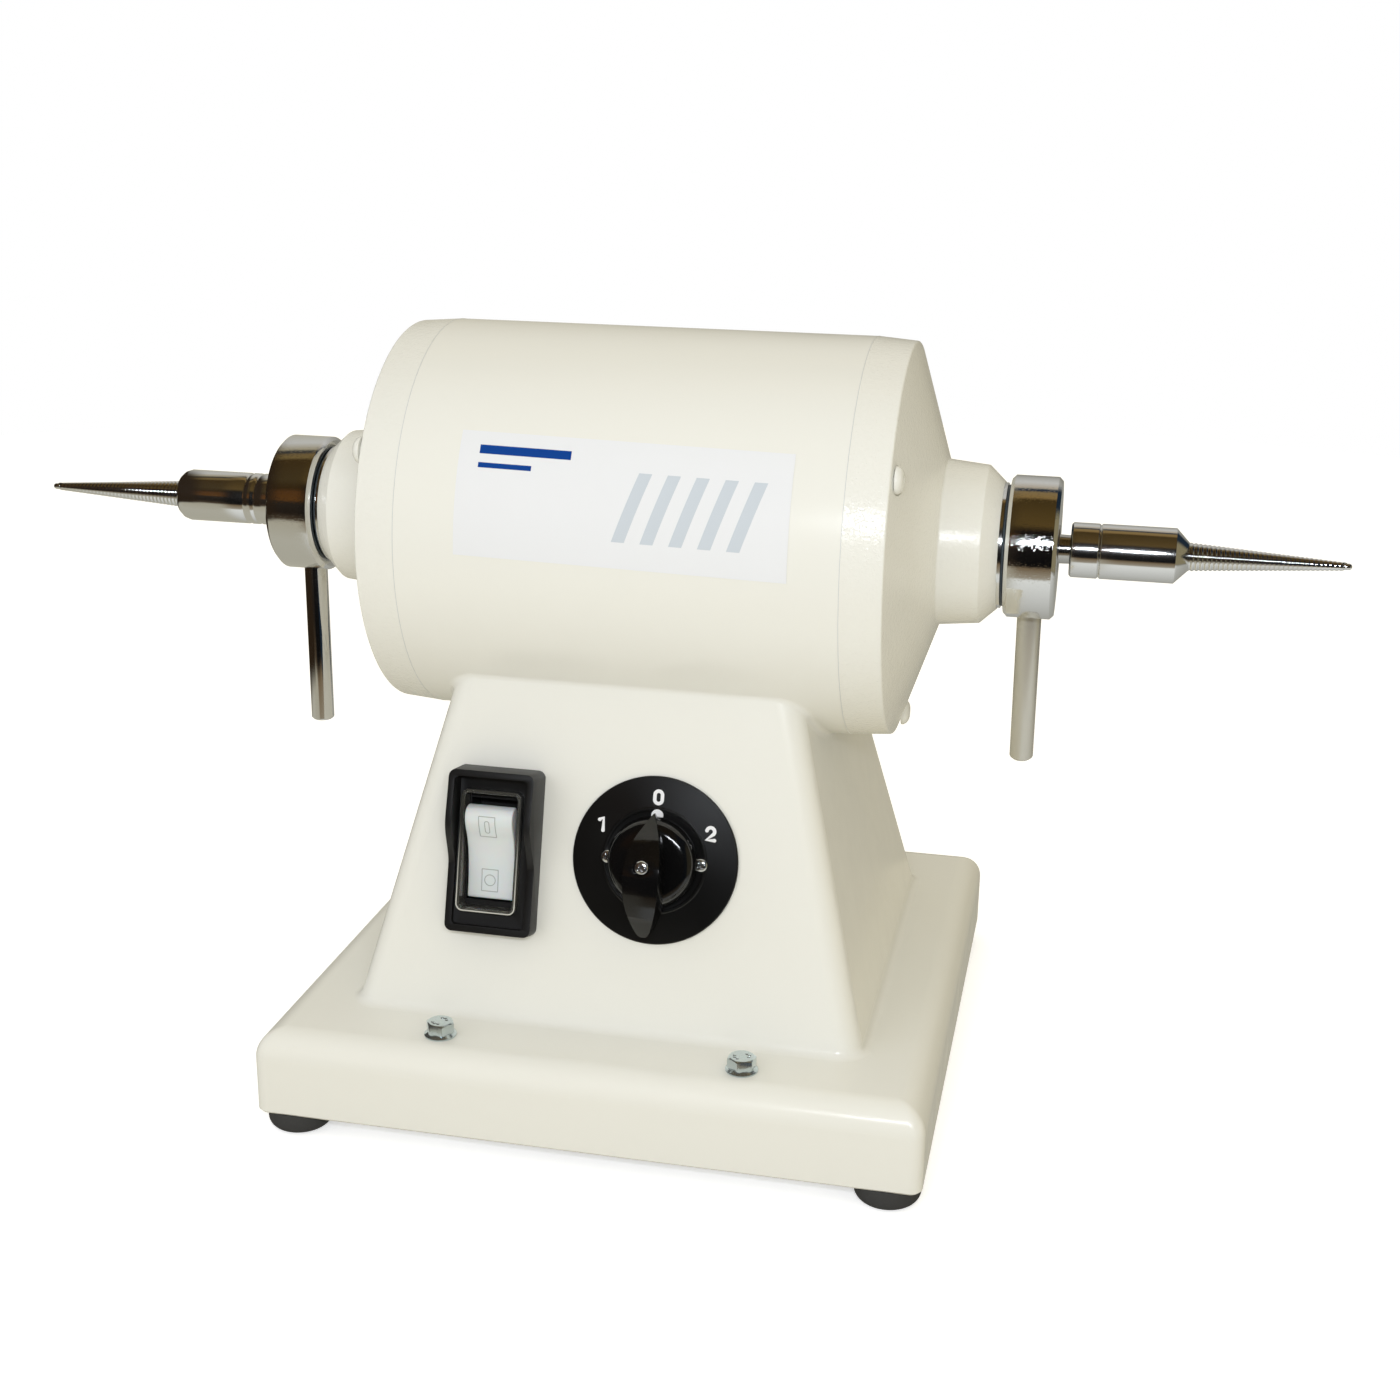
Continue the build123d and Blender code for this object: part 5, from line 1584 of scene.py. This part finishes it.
    def knob(self, frame: Matrix) -> Piece:
        """Domed skirt with the grip across it.

        Args:
            frame: the switch's frame on the front face.

        Returns:
            The knob, in place and at 0.
        """
        skirt = [(0, self.skirt_back), (self.knob_r, self.skirt_back), *self.skirt]
        base = lathe("knob_skirt", skirt, frame, 128)
        soften(base, 0.2, 2, 35)
        half_plan = smooth_line(self.grip_plan, 4)
        whole_plan = half_plan + [(-x, y) for x, y in reversed(half_plan)]
        plan = prism("grip", whole_plan, self.plan_stock, frame)
        side_view = [*smooth_line(self.grip_crown, 6), *self.grip_under]
        carve(plan, prism("grip_side", side_view, self.side_stock, frame @ ON_EDGE), Kept.INSIDE)
        recess = rod(self.recess_r, self.screw_seat, self.recess_top)
        carve(plan, lathe("screw_recess", recess, frame, 40))
        soften(plan, 0.45, 4, 25)
        return joined("speed_knob_grip", [base, plan])

    def knob_screw(self) -> Piece:
        """Countersunk screw in the grip's middle."""
        screw = cross_screw("knob_fixing_screw", head_r=2.8, head_h=1.4, shank_r=2.0, length=16.4)
        return settle(screw, face_frame(self.x, self.up, self.screw_seat))

    def dial_screws(self) -> Piece:
        """The two screws beside the knob.

        Returns:
            Both screws as one piece, in place.
        """
        screw = cross_screw("dial_screw", head_r=2.8, head_h=2.0, shank_r=1.9, length=16.0)
        places = [self.x + side.value * self.screw_x for side in Side]
        copies = [copy_of(screw, face_frame(x, self.up, self.dial_t)) for x in places]
        bpy.data.objects.remove(screw)
        return joined("dial_fixing_screws", copies)


@dataclass
class RockerSwitch:
    """Black surround with its finger guard, the clear frame and the milky rocker."""

    x: float = -48.2
    up: float = 68.2
    width: float = 36.2
    length: float = 66.4
    # The hood's edge seen from the side, as (place up the face, height)
    hood: tuple[Point, ...] = (
        (-36.0, 8.6), (-20.0, 8.1), (-8.0, 7.7), (-4.5, 8.0), (0.0, 10.2), (5.0, 13.5), (9.0, 15.5),
        (12.5, 16.1), (17.0, 15.8), (25.0, 14.9), (36.0, 14.0),
    )
    recess_floor: float = 6.0
    draft: float = 0.8
    shift: float = 1.1
    rim: float = 3.2
    corner: float = 3.0
    inner_corner: float = 1.6
    clear_size: Triple = (25.0, 49.0, 9.0)
    clear_wall: float = 1.6
    edge_proud: float = 0.15
    edge_low: float = 0.1
    # How much smaller than the clear frame the painted highlight line on the rim is outside and inside, with
    # its corners
    edge_outside: Point = (0.5, 2.8)
    edge_inside: Point = (1.4, 2.4)
    rocker_width: float = 19.6
    rocker_tilt: float = 10.0
    # The rocker's face and its hidden back seen from the side, as (place up the face, height)
    rocker_face: tuple[Point, ...] = (
        (19.3, 4.6), (18.6, 7.0), (16.6, 8.7), (13.6, 9.0), (10.2, 7.9), (6.0, 6.0), (0.0, 4.6), (-6.0, 4.2),
        (-12.0, 4.4), (-17.0, 5.0), (-18.8, 5.0), (-19.3, 4.2),
    )
    rocker_back: tuple[Point, ...] = ((-19.3, 3.0), (-7.0, -8.0), (7.0, -8.0), (19.3, 3.0))
    mark_place: Point = (-0.6, 11.6)
    mark_frame: Triple = (7.0, 9.2, 0.3)
    mark_bar: Triple = (2.1, 5.6, 1.0)
    mark_ring: Point = (2.05, 2.35)
    mark_line: float = 0.3
    mark_reach: float = 20.0
    mark_proud: float = 0.07
    mark_depth: float = 0.3

    def build(self, machine: Machine) -> None:
        """Build and dress the rocker switch.

        Args:
            machine: the machine whose nodes it stands for.
        """
        frame = face_frame(self.x, self.up)
        machine.dress(self.surround(frame), GRAIN_BLACK, "rocker_bezel")
        machine.dress(self.clear_frame(frame), CLEAR, "rocker_splash_frame")
        # A pale painted highlight along the clear rim's top edge, fading to painted shade up the face
        machine.add(self.rim_edge(frame), CLEAR_RIM_PAINTED_HIGHLIGHT, "motor_body", "clear_plastic")
        tilted = frame @ Matrix.Rotation(math.radians(self.rocker_tilt), 4, "X")
        machine.dress(self.rocker(tilted), MILKY, "rocker")
        machine.add(self.marks(tilted), MILKY_EDGE, "rocker", "white_plastic")

    def surround(self, frame: Matrix) -> Piece:
        """Surround whose hood swells over the rocker's upper half, with a recess round the clear frame.

        Args:
            frame: the switch's frame on the front face.

        Returns:
            The surround, in place.
        """
        shifted = frame @ Matrix.Translation(place(self.shift, 0, 0))
        high = max(height for _, height in self.hood) + 0.5
        size = (self.width, self.length, high)
        outside = block("switch_surround", size, shifted, 0, self.corner, self.draft)
        above = smooth_line(self.hood, 5) + [(self.length, 4 * high), (-self.length, 4 * high)]
        carve(outside, prism("hood_cut", above, 2 * self.width, shifted @ ON_EDGE))
        recess = (self.width - 2 * self.rim, self.length - 2 * self.rim, 2 * high)
        carve(outside, block("recess", recess, shifted, self.recess_floor, self.inner_corner))
        window = (*self.clear_size[:2], 6 * high)
        carve(outside, block("window", window, frame, -2 * high, self.corner))
        soften(outside, 0.5, 3, 28)
        return outside

    def clear_frame(self, frame: Matrix) -> Piece:
        """Clear rim that keeps splashes out of the rocker.

        Args:
            frame: the switch's frame on the front face.

        Returns:
            The clear frame, in place.
        """
        width, length, height = self.clear_size
        rim = block("clear_rim", self.clear_size, frame, 0, self.corner)
        inside = (width - 2 * self.clear_wall, length - 2 * self.clear_wall, 3 * height)
        carve(rim, block("rim_inside", inside, frame, -height, self.inner_corner))
        soften(rim, 0.35, 3, 28)
        return rim

    def rim_edge(self, frame: Matrix) -> Piece:
        """The painted highlight: a pale line along the clear rim's top edge.

        Args:
            frame: the switch's frame on the front face.

        Returns:
            The line, in place.
        """
        width, length, height = self.clear_size
        (outer, outer_corner), (inner, inner_corner) = self.edge_outside, self.edge_inside
        size = (width - outer, length - outer, self.edge_low + self.edge_proud)
        edge = block("rim_edge", size, frame, height - self.edge_low, outer_corner)
        hole = block("edge_inside", (width - inner, length - inner, 4.0), frame, height - 2, inner_corner)
        carve(edge, hole)
        soften(edge, 0.08, 2, 28)
        return edge

    def rocker(self, frame: Matrix) -> Piece:
        """Rocker with a raised round crest at its top end and a hollowed face.

        Args:
            frame: the switch's frame, tilted to the rocker's rest.

        Returns:
            The rocker, in place.
        """
        side_view = [*smooth_line(self.rocker_face, 4), *self.rocker_back]
        rocker = prism("switch_rocker", side_view, self.rocker_width, frame @ ON_EDGE)
        soften(rocker, 0.6, 4, 28)
        return rocker

    def marks(self, frame: Matrix) -> Piece:
        """The raised I and O, each in its frame line, laid over the hollowed face.

        Args:
            frame: the switch's frame, tilted to the rocker's rest.

        Returns:
            The marks as one piece, in place.
        """
        x, y = self.mark_place
        upper, lower = (Matrix.Translation(place(x, up, 0)) for up in (y, -y))
        ring = tube(*self.mark_ring, -self.mark_reach, self.mark_reach)
        parts = [
            self.outline_of(self.mark_frame, upper), self.outline_of(self.mark_bar, upper),
            self.outline_of(self.mark_frame, lower), lathe("circle", ring, lower, 40),
        ]
        marks = joined("rocker_marks", parts)
        face = smooth_line(self.rocker_face, 4)
        skin = [(along, height + self.mark_proud) for along, height in face]
        skin += [(along, height - self.mark_depth) for along, height in reversed(face)]
        carve(marks, prism("face_skin", skin, self.rocker_width - 2, ON_EDGE), Kept.INSIDE)
        return settle(marks, frame)

    def outline_of(self, size: Triple, spot: Matrix) -> Piece:
        """A tall thin-walled frame of a width, length and corner, to be cut to the rocker's face.

        Args:
            size: its width, length and corner radius.
            spot: where its middle stands.

        Returns:
            The frame, not yet cut.
        """
        width, length, corner = size
        line, reach = self.mark_line, self.mark_reach
        outline = block("mark_frame", (width, length, 2 * reach), spot, -reach, corner)
        inside = (width - 2 * line, length - 2 * line, 2.5 * reach)
        hole = block("mark_inside", inside, spot, -1.25 * reach, max(corner - line, 0.1))
        carve(outline, hole)
        return outline


@dataclass
class BaseFittings:
    """Hexagon flange bolts, rubber feet and the cable gland."""

    bolt_x: float = 60.6
    bolt_y: float = 113.0
    bolt_turns: tuple[float, ...] = (57.0, 23.0, 11.0, 40.0)
    bolt_flats: float = 10.0
    bolt_r: float = 3.0
    bolt_length: float = 33.0
    bolt_top: float = 6.0
    # The bar that the head is cut from: its length, and the height of its middle
    head_stock: Point = (4.8, 3.7)
    flange: tuple[Point, ...] = ((6.3, 0.0), (6.4, 0.7), (5.8, 1.0), (4.2, 2.4), (0.0, 2.4))
    crown: tuple[Point, ...] = ((0.0, 1.4), (5.3, 1.4), (5.9, 2.1), (7.0, 4.6), (4.6, 6.0), (0.0, 6.0))
    pip: tuple[Point, ...] = ((0.0, -0.2), (0.78, -0.2), (0.78, 0.02), (0.6, 0.18), (0.35, 0.27), (0.0, 0.3))
    pip_places: tuple[Point, ...] = (
        (-2.6, 1.2), (-2.9, -0.2), (-2.2, -1.6), (2.3, 1.4), (3.0, 0.2), (2.4, -1.2),
    )
    foot_x: float = 119.0
    foot_y: float = 118.0
    foot_r: float = 13.0
    foot_h: float = 9.0
    foot_round: float = 4.5
    foot_bore: float = 2.7
    foot_recess: Point = (6.0, 5.5)

    def build(self, machine: Machine) -> None:
        """Build and dress the fittings.

        Args:
            machine: the machine whose nodes it stands for.
        """
        machine.dress(self.bolts(), BOLT_ZINC, "base_bolts")
        machine.dress(self.feet(), RUBBER, "rubber_feet")
        for node, name in (("cable_gland_body", "gland_body"), ("cable_gland_nut", "gland_dome_nut")):
            machine.dress(machine.skin_of(node, name), GRAIN_BLACK, node)

    def bolts(self) -> Piece:
        """One bolt with its flange, chamfered hexagon and raised pips, copied to the four places.

        Returns:
            The four bolts as one piece, in place.
        """
        shank = [(0, -self.bolt_length), (self.bolt_r, -self.bolt_length), (self.bolt_r, 0), *self.flange]
        flange = lathe("flange_bolt", shank, AT_ORIGIN, 48)
        corners = hexagon(self.bolt_flats / 2 / math.cos(math.pi / 6))
        length, middle = self.head_stock
        head = prism("bolt_head", corners, length, Matrix.Translation(place(0, 0, middle)))
        carve(head, lathe("crown", self.crown, AT_ORIGIN, 48), Kept.INSIDE)
        soften(flange, 0.15)
        soften(head, 0.15, 2, 25)
        parts = [flange, head]
        for x, y in self.pip_places:
            pip = lathe("pip", self.pip, Matrix.Translation(place(x, y, self.bolt_top)), 16)
            soften(pip, 0.0, limit=60)
            parts.append(pip)
        bolt = joined("flange_bolt", parts)
        copies = []
        for turn, (x, y) in zip(self.bolt_turns, ((-1, -1), (1, -1), (-1, 1), (1, 1))):
            spot = Matrix.Translation(place(x * self.bolt_x, y * self.bolt_y, BASE_TOP))
            copies.append(copy_of(bolt, spot @ Matrix.Rotation(math.radians(turn), 4, "Z")))
        bpy.data.objects.remove(bolt)
        return joined("base_flange_bolts", copies)

    def feet(self) -> Piece:
        """Round rubber feet with a rounded lower edge and a recess for the screw.

        Returns:
            The four feet as one piece, in place.
        """
        edge, bore, (recess_r, recess_top) = self.foot_round, self.foot_bore, self.foot_recess
        outline = [
            (bore, recess_top), (recess_r, recess_top), (recess_r, 0.0),
            *arc((self.foot_r - edge, edge), edge, -90, 0, 8), (self.foot_r, self.foot_h),
            (bore, self.foot_h), (bore, recess_top),
        ]
        foot = lathe("rubber_foot", outline, AT_ORIGIN, 64)
        soften(foot, 0.3)
        copies = [
            copy_of(foot, Matrix.Translation(place(x * self.foot_x, y * self.foot_y, 0)))
            for x in (-1, 1) for y in (-1, 1)
        ]
        bpy.data.objects.remove(foot)
        return joined("bench_feet", copies)


@dataclass
class BarrelLabel:
    """A plain printed label on the front of the barrel: pale field, blue bars and grey slanting stripes."""

    left: float = -62.0
    right: float = 67.0
    low_angle: float = 0.3
    high_angle: float = 35.0
    skew: float = math.radians(-1.2)
    # Each bar's left end, its right end, and how far its lower and upper edges lie under the label's top
    bars: tuple[tuple[float, float, float, float], ...] = ((8.0, 44.0, 9.0, 5.5), (8.0, 29.0, 14.5, 12.5))
    stripe_count: int = 5
    stripe_left: float = 62.0
    stripe_step: float = 11.0
    stripe_width: float = 5.0
    stripe_slant: float = 9.0
    stripe_low: float = 10.0
    stripe_under: float = 12.0
    strip: float = 2.0
    strip_count: int = 25
    thickness: float = 0.04
    # Heights over the enamel
    film_lift: float = 0.10
    stripe_lift: float = 0.13
    bar_lift: float = 0.14

    def build(self, machine: Machine) -> None:
        """Build the label's film and its prints.

        Args:
            machine: the machine that carries the label.
        """
        width = self.right - self.left
        top = math.radians(self.high_angle - self.low_angle) * BARREL_R
        film = self.patch("label_film", self.rectangle(0, width, 0, top), self.film_lift)
        bars = [
            self.patch("bar", self.rectangle(left, right, top - low, top - high), self.bar_lift)
            for left, right, low, high in self.bars
        ]
        stripes = []
        for index in range(self.stripe_count):
            x = self.stripe_left + index * self.stripe_step
            foot = [(x, self.stripe_low), (x + self.stripe_width, self.stripe_low)]
            head = [(x + self.stripe_slant, top - self.stripe_under) for x, _ in reversed(foot)]
            stripes.append(self.patch("stripe", foot + head, self.stripe_lift))
        machine.add(film, LABEL_FILM, "motor_body", "cream_enamel")
        machine.add(joined("label_blue_bars", bars), LABEL_BLUE, "motor_body", "cream_enamel")
        machine.add(joined("label_grey_stripes", stripes), LABEL_GREY, "motor_body", "cream_enamel")

    def rectangle(self, left: float, right: float, low: float, high: float) -> list[Point]:
        """The corners of an upright rectangle."""
        return [(left, low), (right, low), (right, high), (left, high)]

    def patch(self, name: str, outline: Sequence[Point], lift: float) -> Piece:
        """A thin flat shape laid round the barrel.

        Args:
            name: the shape's name.
            outline: its corners in millimetres from the label's lower left corner.
            lift: height over the enamel.

        Returns:
            The shape, in place on the barrel.
        """
        piece = prism(name, outline, self.thickness, AT_ORIGIN)
        with Editing(piece):
            for step in range(1, self.strip_count + 1):
                bpy.ops.mesh.select_all(action="SELECT")
                bpy.ops.mesh.bisect(plane_co=(0, mm(step * self.strip), 0), plane_no=(0, 1, 0))
        middle = mm(self.left + self.right) / 2
        for vertex in piece.data.vertices:
            x = vertex.co.x - mm(self.right - self.left) / 2
            up = vertex.co.y + x * math.tan(self.skew)
            angle = math.radians(self.low_angle) + up / mm(BARREL_R)
            radius = mm(BARREL_R + lift) + vertex.co.z
            vertex.co = (x + middle, -radius * math.cos(angle), mm(SHAFT_Z) + radius * math.sin(angle))
        close_seams(piece)
        soften(piece, 0.0)
        return piece


@dataclass(frozen=True)
class Lamp:
    """A rectangular lamp that points at the machine's middle; its place and size are in millimetres."""

    name: str
    place: Triple
    size: Point
    watts: float
    colour: str
    mirrored: bool

    def build(self) -> None:
        """Hang the lamp; glossy surfaces show it only where it is mirrored."""
        deselect()
        bpy.ops.object.light_add(type="AREA")
        lamp = bpy.context.object
        lamp.name = self.name
        lamp.data.shape = "RECTANGLE"
        lamp.data.size, lamp.data.size_y = mm(self.size[0]), mm(self.size[1])
        lamp.data.energy = self.watts
        lamp.data.color = linear(self.colour)[:3]
        lamp.visible_glossy = self.mirrored
        aim = place(0, 0, 180) - place(*self.place)
        lamp.matrix_world = frame_at(place(*self.place), aim.cross(Vector((0, 0.3, 1))), -aim)


@dataclass
class Studio:
    """White floor, soft light and the photograph's camera."""

    camera_place: Triple = (182.7, -772.4, 409.1)
    yaw: float = 12.03
    pitch: float = 17.94
    roll: float = 0.85
    focal: float = 1961.0
    frame_width: float = 1400.0
    sensor: float = 36.0
    fill: float = 0.72
    bench_glow: float = 0.55
    bench_r: float = 1600.0
    lamps: tuple[Lamp, ...] = (
        Lamp("window_left", (-900, -1200, 650), (1100, 1100), watts=2.8, colour="#FFFFFF", mirrored=False),
        Lamp("ceiling_panel", (200, -200, 1700), (1500, 1500), watts=0.7, colour="#FFF4DC", mirrored=False),
        Lamp("flash_over_camera", (185, -800, 520), (330, 50), watts=2.4, colour="#F2F7FF", mirrored=True),
    )
    # What a mirror sees round the machine's long axis, at its right and its left end: the angle in degrees,
    # 0 at the front and 90 at the ceiling, and the tone there; tones between two angles are mixed
    right_room: tuple[tuple[float, str], ...] = (
        (-180, "#8C8A80"), (-130, "#B4B4AE"), (-80, "#D6D7D4"), (-42, "#EDEFEC"), (-39, "#A39B8A"),
        (-22, "#7C6A52"), (-18, "#0D0D0E"), (38, "#17130F"), (48, "#5A4724"), (95, "#44351A"),
        (100, "#8C7246"), (112, "#8A7550"), (115, "#2C3440"), (120, "#37404A"), (123, "#BBAF9C"),
        (140, "#D2D1CE"), (180, "#8C8A80"),
    )
    left_room: tuple[tuple[float, str], ...] = (
        (-180, "#B4B1A2"), (-60, "#BDBAAC"), (-23, "#B3AE9C"), (-19, "#4A3D2E"), (-8, "#241D17"),
        (10, "#2A241D"), (14, "#5C3C1B"), (28, "#55371A"), (34, "#36260F"), (50, "#44371F"), (88, "#403018"),
        (93, "#79663F"), (101, "#76623F"), (105, "#3A3A38"), (110, "#47453F"), (113, "#A99F85"),
        (135, "#CCCBC7"), (180, "#B4B1A2"),
    )
    # Past these shares of a view along the axis, negative to the left, a mirror sees the end walls' tones
    end_walls: tuple[tuple[float, float, str], ...] = (
        (-0.45, -0.62, "#2C2116"), (0.40, 0.60, "#1C2A38"), (0.80, 0.92, "#8E8569"),
    )

    def build(self) -> None:
        """Set the camera, the floor, the world and the lamps."""
        bpy.context.scene.view_settings.view_transform = "Standard"
        self.camera()
        self.floor()
        self.world()
        for lamp in self.lamps:
            lamp.build()

    def camera(self) -> None:
        """The photograph's viewpoint, turned about its own axis by the roll."""
        yaw, pitch, roll = (math.radians(angle) for angle in (self.yaw, self.pitch, self.roll))
        level = Vector((math.cos(yaw), math.sin(yaw), 0))
        ahead = Vector((-math.sin(yaw), math.cos(yaw), 0))
        forward = math.cos(pitch) * ahead - math.sin(pitch) * Vector((0, 0, 1))
        upward = level.cross(forward)
        right = math.cos(roll) * level + math.sin(roll) * upward
        bpy.ops.object.camera_add()
        camera = bpy.context.object
        camera.name = "photo_camera"
        camera.matrix_world = frame_at(place(*self.camera_place), right, -forward)
        camera.data.sensor_fit = "HORIZONTAL"
        camera.data.sensor_width = self.sensor
        camera.data.lens = self.focal / self.frame_width * self.sensor
        camera.data.clip_start = 0.01
        camera.data.clip_end = 50
        bpy.context.scene.camera = camera

    def floor(self) -> None:
        """A wide bench: white with a shadow to the camera, clear to mirrors, warm grey to the rest."""
        deselect()
        bpy.ops.mesh.primitive_circle_add(vertices=96, radius=mm(self.bench_r), fill_type="NGON")
        floor = bpy.context.object
        floor.name = "white_bench"
        material = bpy.data.materials.new("white_bench_top")
        material.use_nodes = True
        tree = material.node_tree
        tree.nodes.remove(tree.nodes["Principled BSDF"])
        output = tree.nodes["Material Output"]
        matt = add_node(tree, "BsdfDiffuse", None, {"Color": linear("#F4F4F4")})
        glow = add_node(tree, "Emission", None, {"Color": (1, 1, 1, 1), "Strength": self.bench_glow})
        both = add_node(tree, "AddShader", None, {0: matt.outputs[0], 1: glow.outputs[0]})
        warm = add_node(tree, "BsdfDiffuse", None, {"Color": linear("#DCD7C9")})
        mirrored = add_node(tree, "BsdfTransparent")
        path = add_node(tree, "LightPath").outputs
        others = chosen(tree, path["Is Glossy Ray"], warm.outputs[0], mirrored.outputs[0])
        seen = chosen(tree, path["Is Camera Ray"], others, both.outputs[0])
        tree.links.new(seen, output.inputs["Surface"])
        floor.data.materials.append(material)

    def room(self, tree: Tree, angle: Socket, tones: Sequence[tuple[float, str]]) -> Socket:
        """The tone that a mirror sees at an angle round the machine's long axis.

        Args:
            tree: the world's nodes.
            angle: the angle in radians.
            tones: angles in degrees from -180 to 180 and their tones.

        Returns:
            The tone.
        """
        ramp = add_node(tree, "ValToRGB", None, {"Fac": mapped(tree, angle, (-math.pi, math.pi))})
        colours = ramp.color_ramp.elements
        while len(colours) > 1:
            colours.remove(colours[-1])
        for index, (degrees, tone) in enumerate(tones):
            element = colours[0] if index == 0 else colours.new((degrees + 180) / 360)
            element.position = (degrees + 180) / 360
            element.color = linear(tone)
        return ramp.outputs["Color"]

    def world(self) -> None:
        """White behind the machine; mirrors see a dim brown room, the bench below and a pale wall."""
        world = bpy.data.worlds.new("studio_room")
        bpy.context.scene.world = world
        world.use_nodes = True
        tree = world.node_tree
        output = tree.nodes["World Output"]
        fill = tree.nodes["Background"]
        view = add_node(tree, "TexCoord").outputs["Generated"]
        across, depth, up = add_node(tree, "SeparateXYZ", None, {0: view}).outputs
        warm = mapped(tree, aligned(tree, view, (0.6, 0.6, 0.5)), (-0.5, 0.9), rise=Rise.SMOOTH)
        tree.links.new(mixed(tree, warm, linear("#FFFFFF"), linear("#F7EBCB")), fill.inputs["Color"])
        fill.inputs["Strength"].default_value = self.fill
        angle = calculate(tree, "ARCTAN2", up, calculate(tree, "MULTIPLY", depth, -1.0))
        leftward = mapped(tree, across, (-0.12, -0.30), rise=Rise.SMOOTH)
        right, left = (self.room(tree, angle, tones) for tones in (self.right_room, self.left_room))
        tone = mixed(tree, leftward, right, left)
        level = mapped(tree, up, (-0.40, -0.30), rise=Rise.SMOOTH)
        for low, high, wall in self.end_walls:
            beside = mapped(tree, across, (low, high), rise=Rise.SMOOTH)
            tone = mixed(tree, calculate(tree, "MULTIPLY", beside, level), tone, linear(wall))
        mirror = add_node(tree, "Background", None, {"Color": tone, "Strength": 1.0})
        white = add_node(tree, "Background", None, {"Color": (1, 1, 1, 1), "Strength": 1.0})
        path = add_node(tree, "LightPath").outputs
        others = chosen(tree, path["Is Glossy Ray"], fill.outputs[0], mirror.outputs[0])
        behind = calculate(tree, "MAXIMUM", path["Is Camera Ray"], path["Is Transmission Ray"])
        tree.links.new(chosen(tree, behind, others, white.outputs[0]), output.inputs["Surface"])


def main() -> None:
    """Build every sub-assembly in order."""
    logging.basicConfig(level=logging.INFO, format="%(name)s %(message)s")
    machine = Machine.load()
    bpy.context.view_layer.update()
    for part in (
        Castings(), ReleaseEnd(), Spindles(), SpeedSwitch(), RockerSwitch(), BaseFittings(), BarrelLabel(),
    ):
        LOG.info("building %s", type(part).__name__)
        part.build(machine)
    Studio().build()


if __name__ == "__main__":
    main()
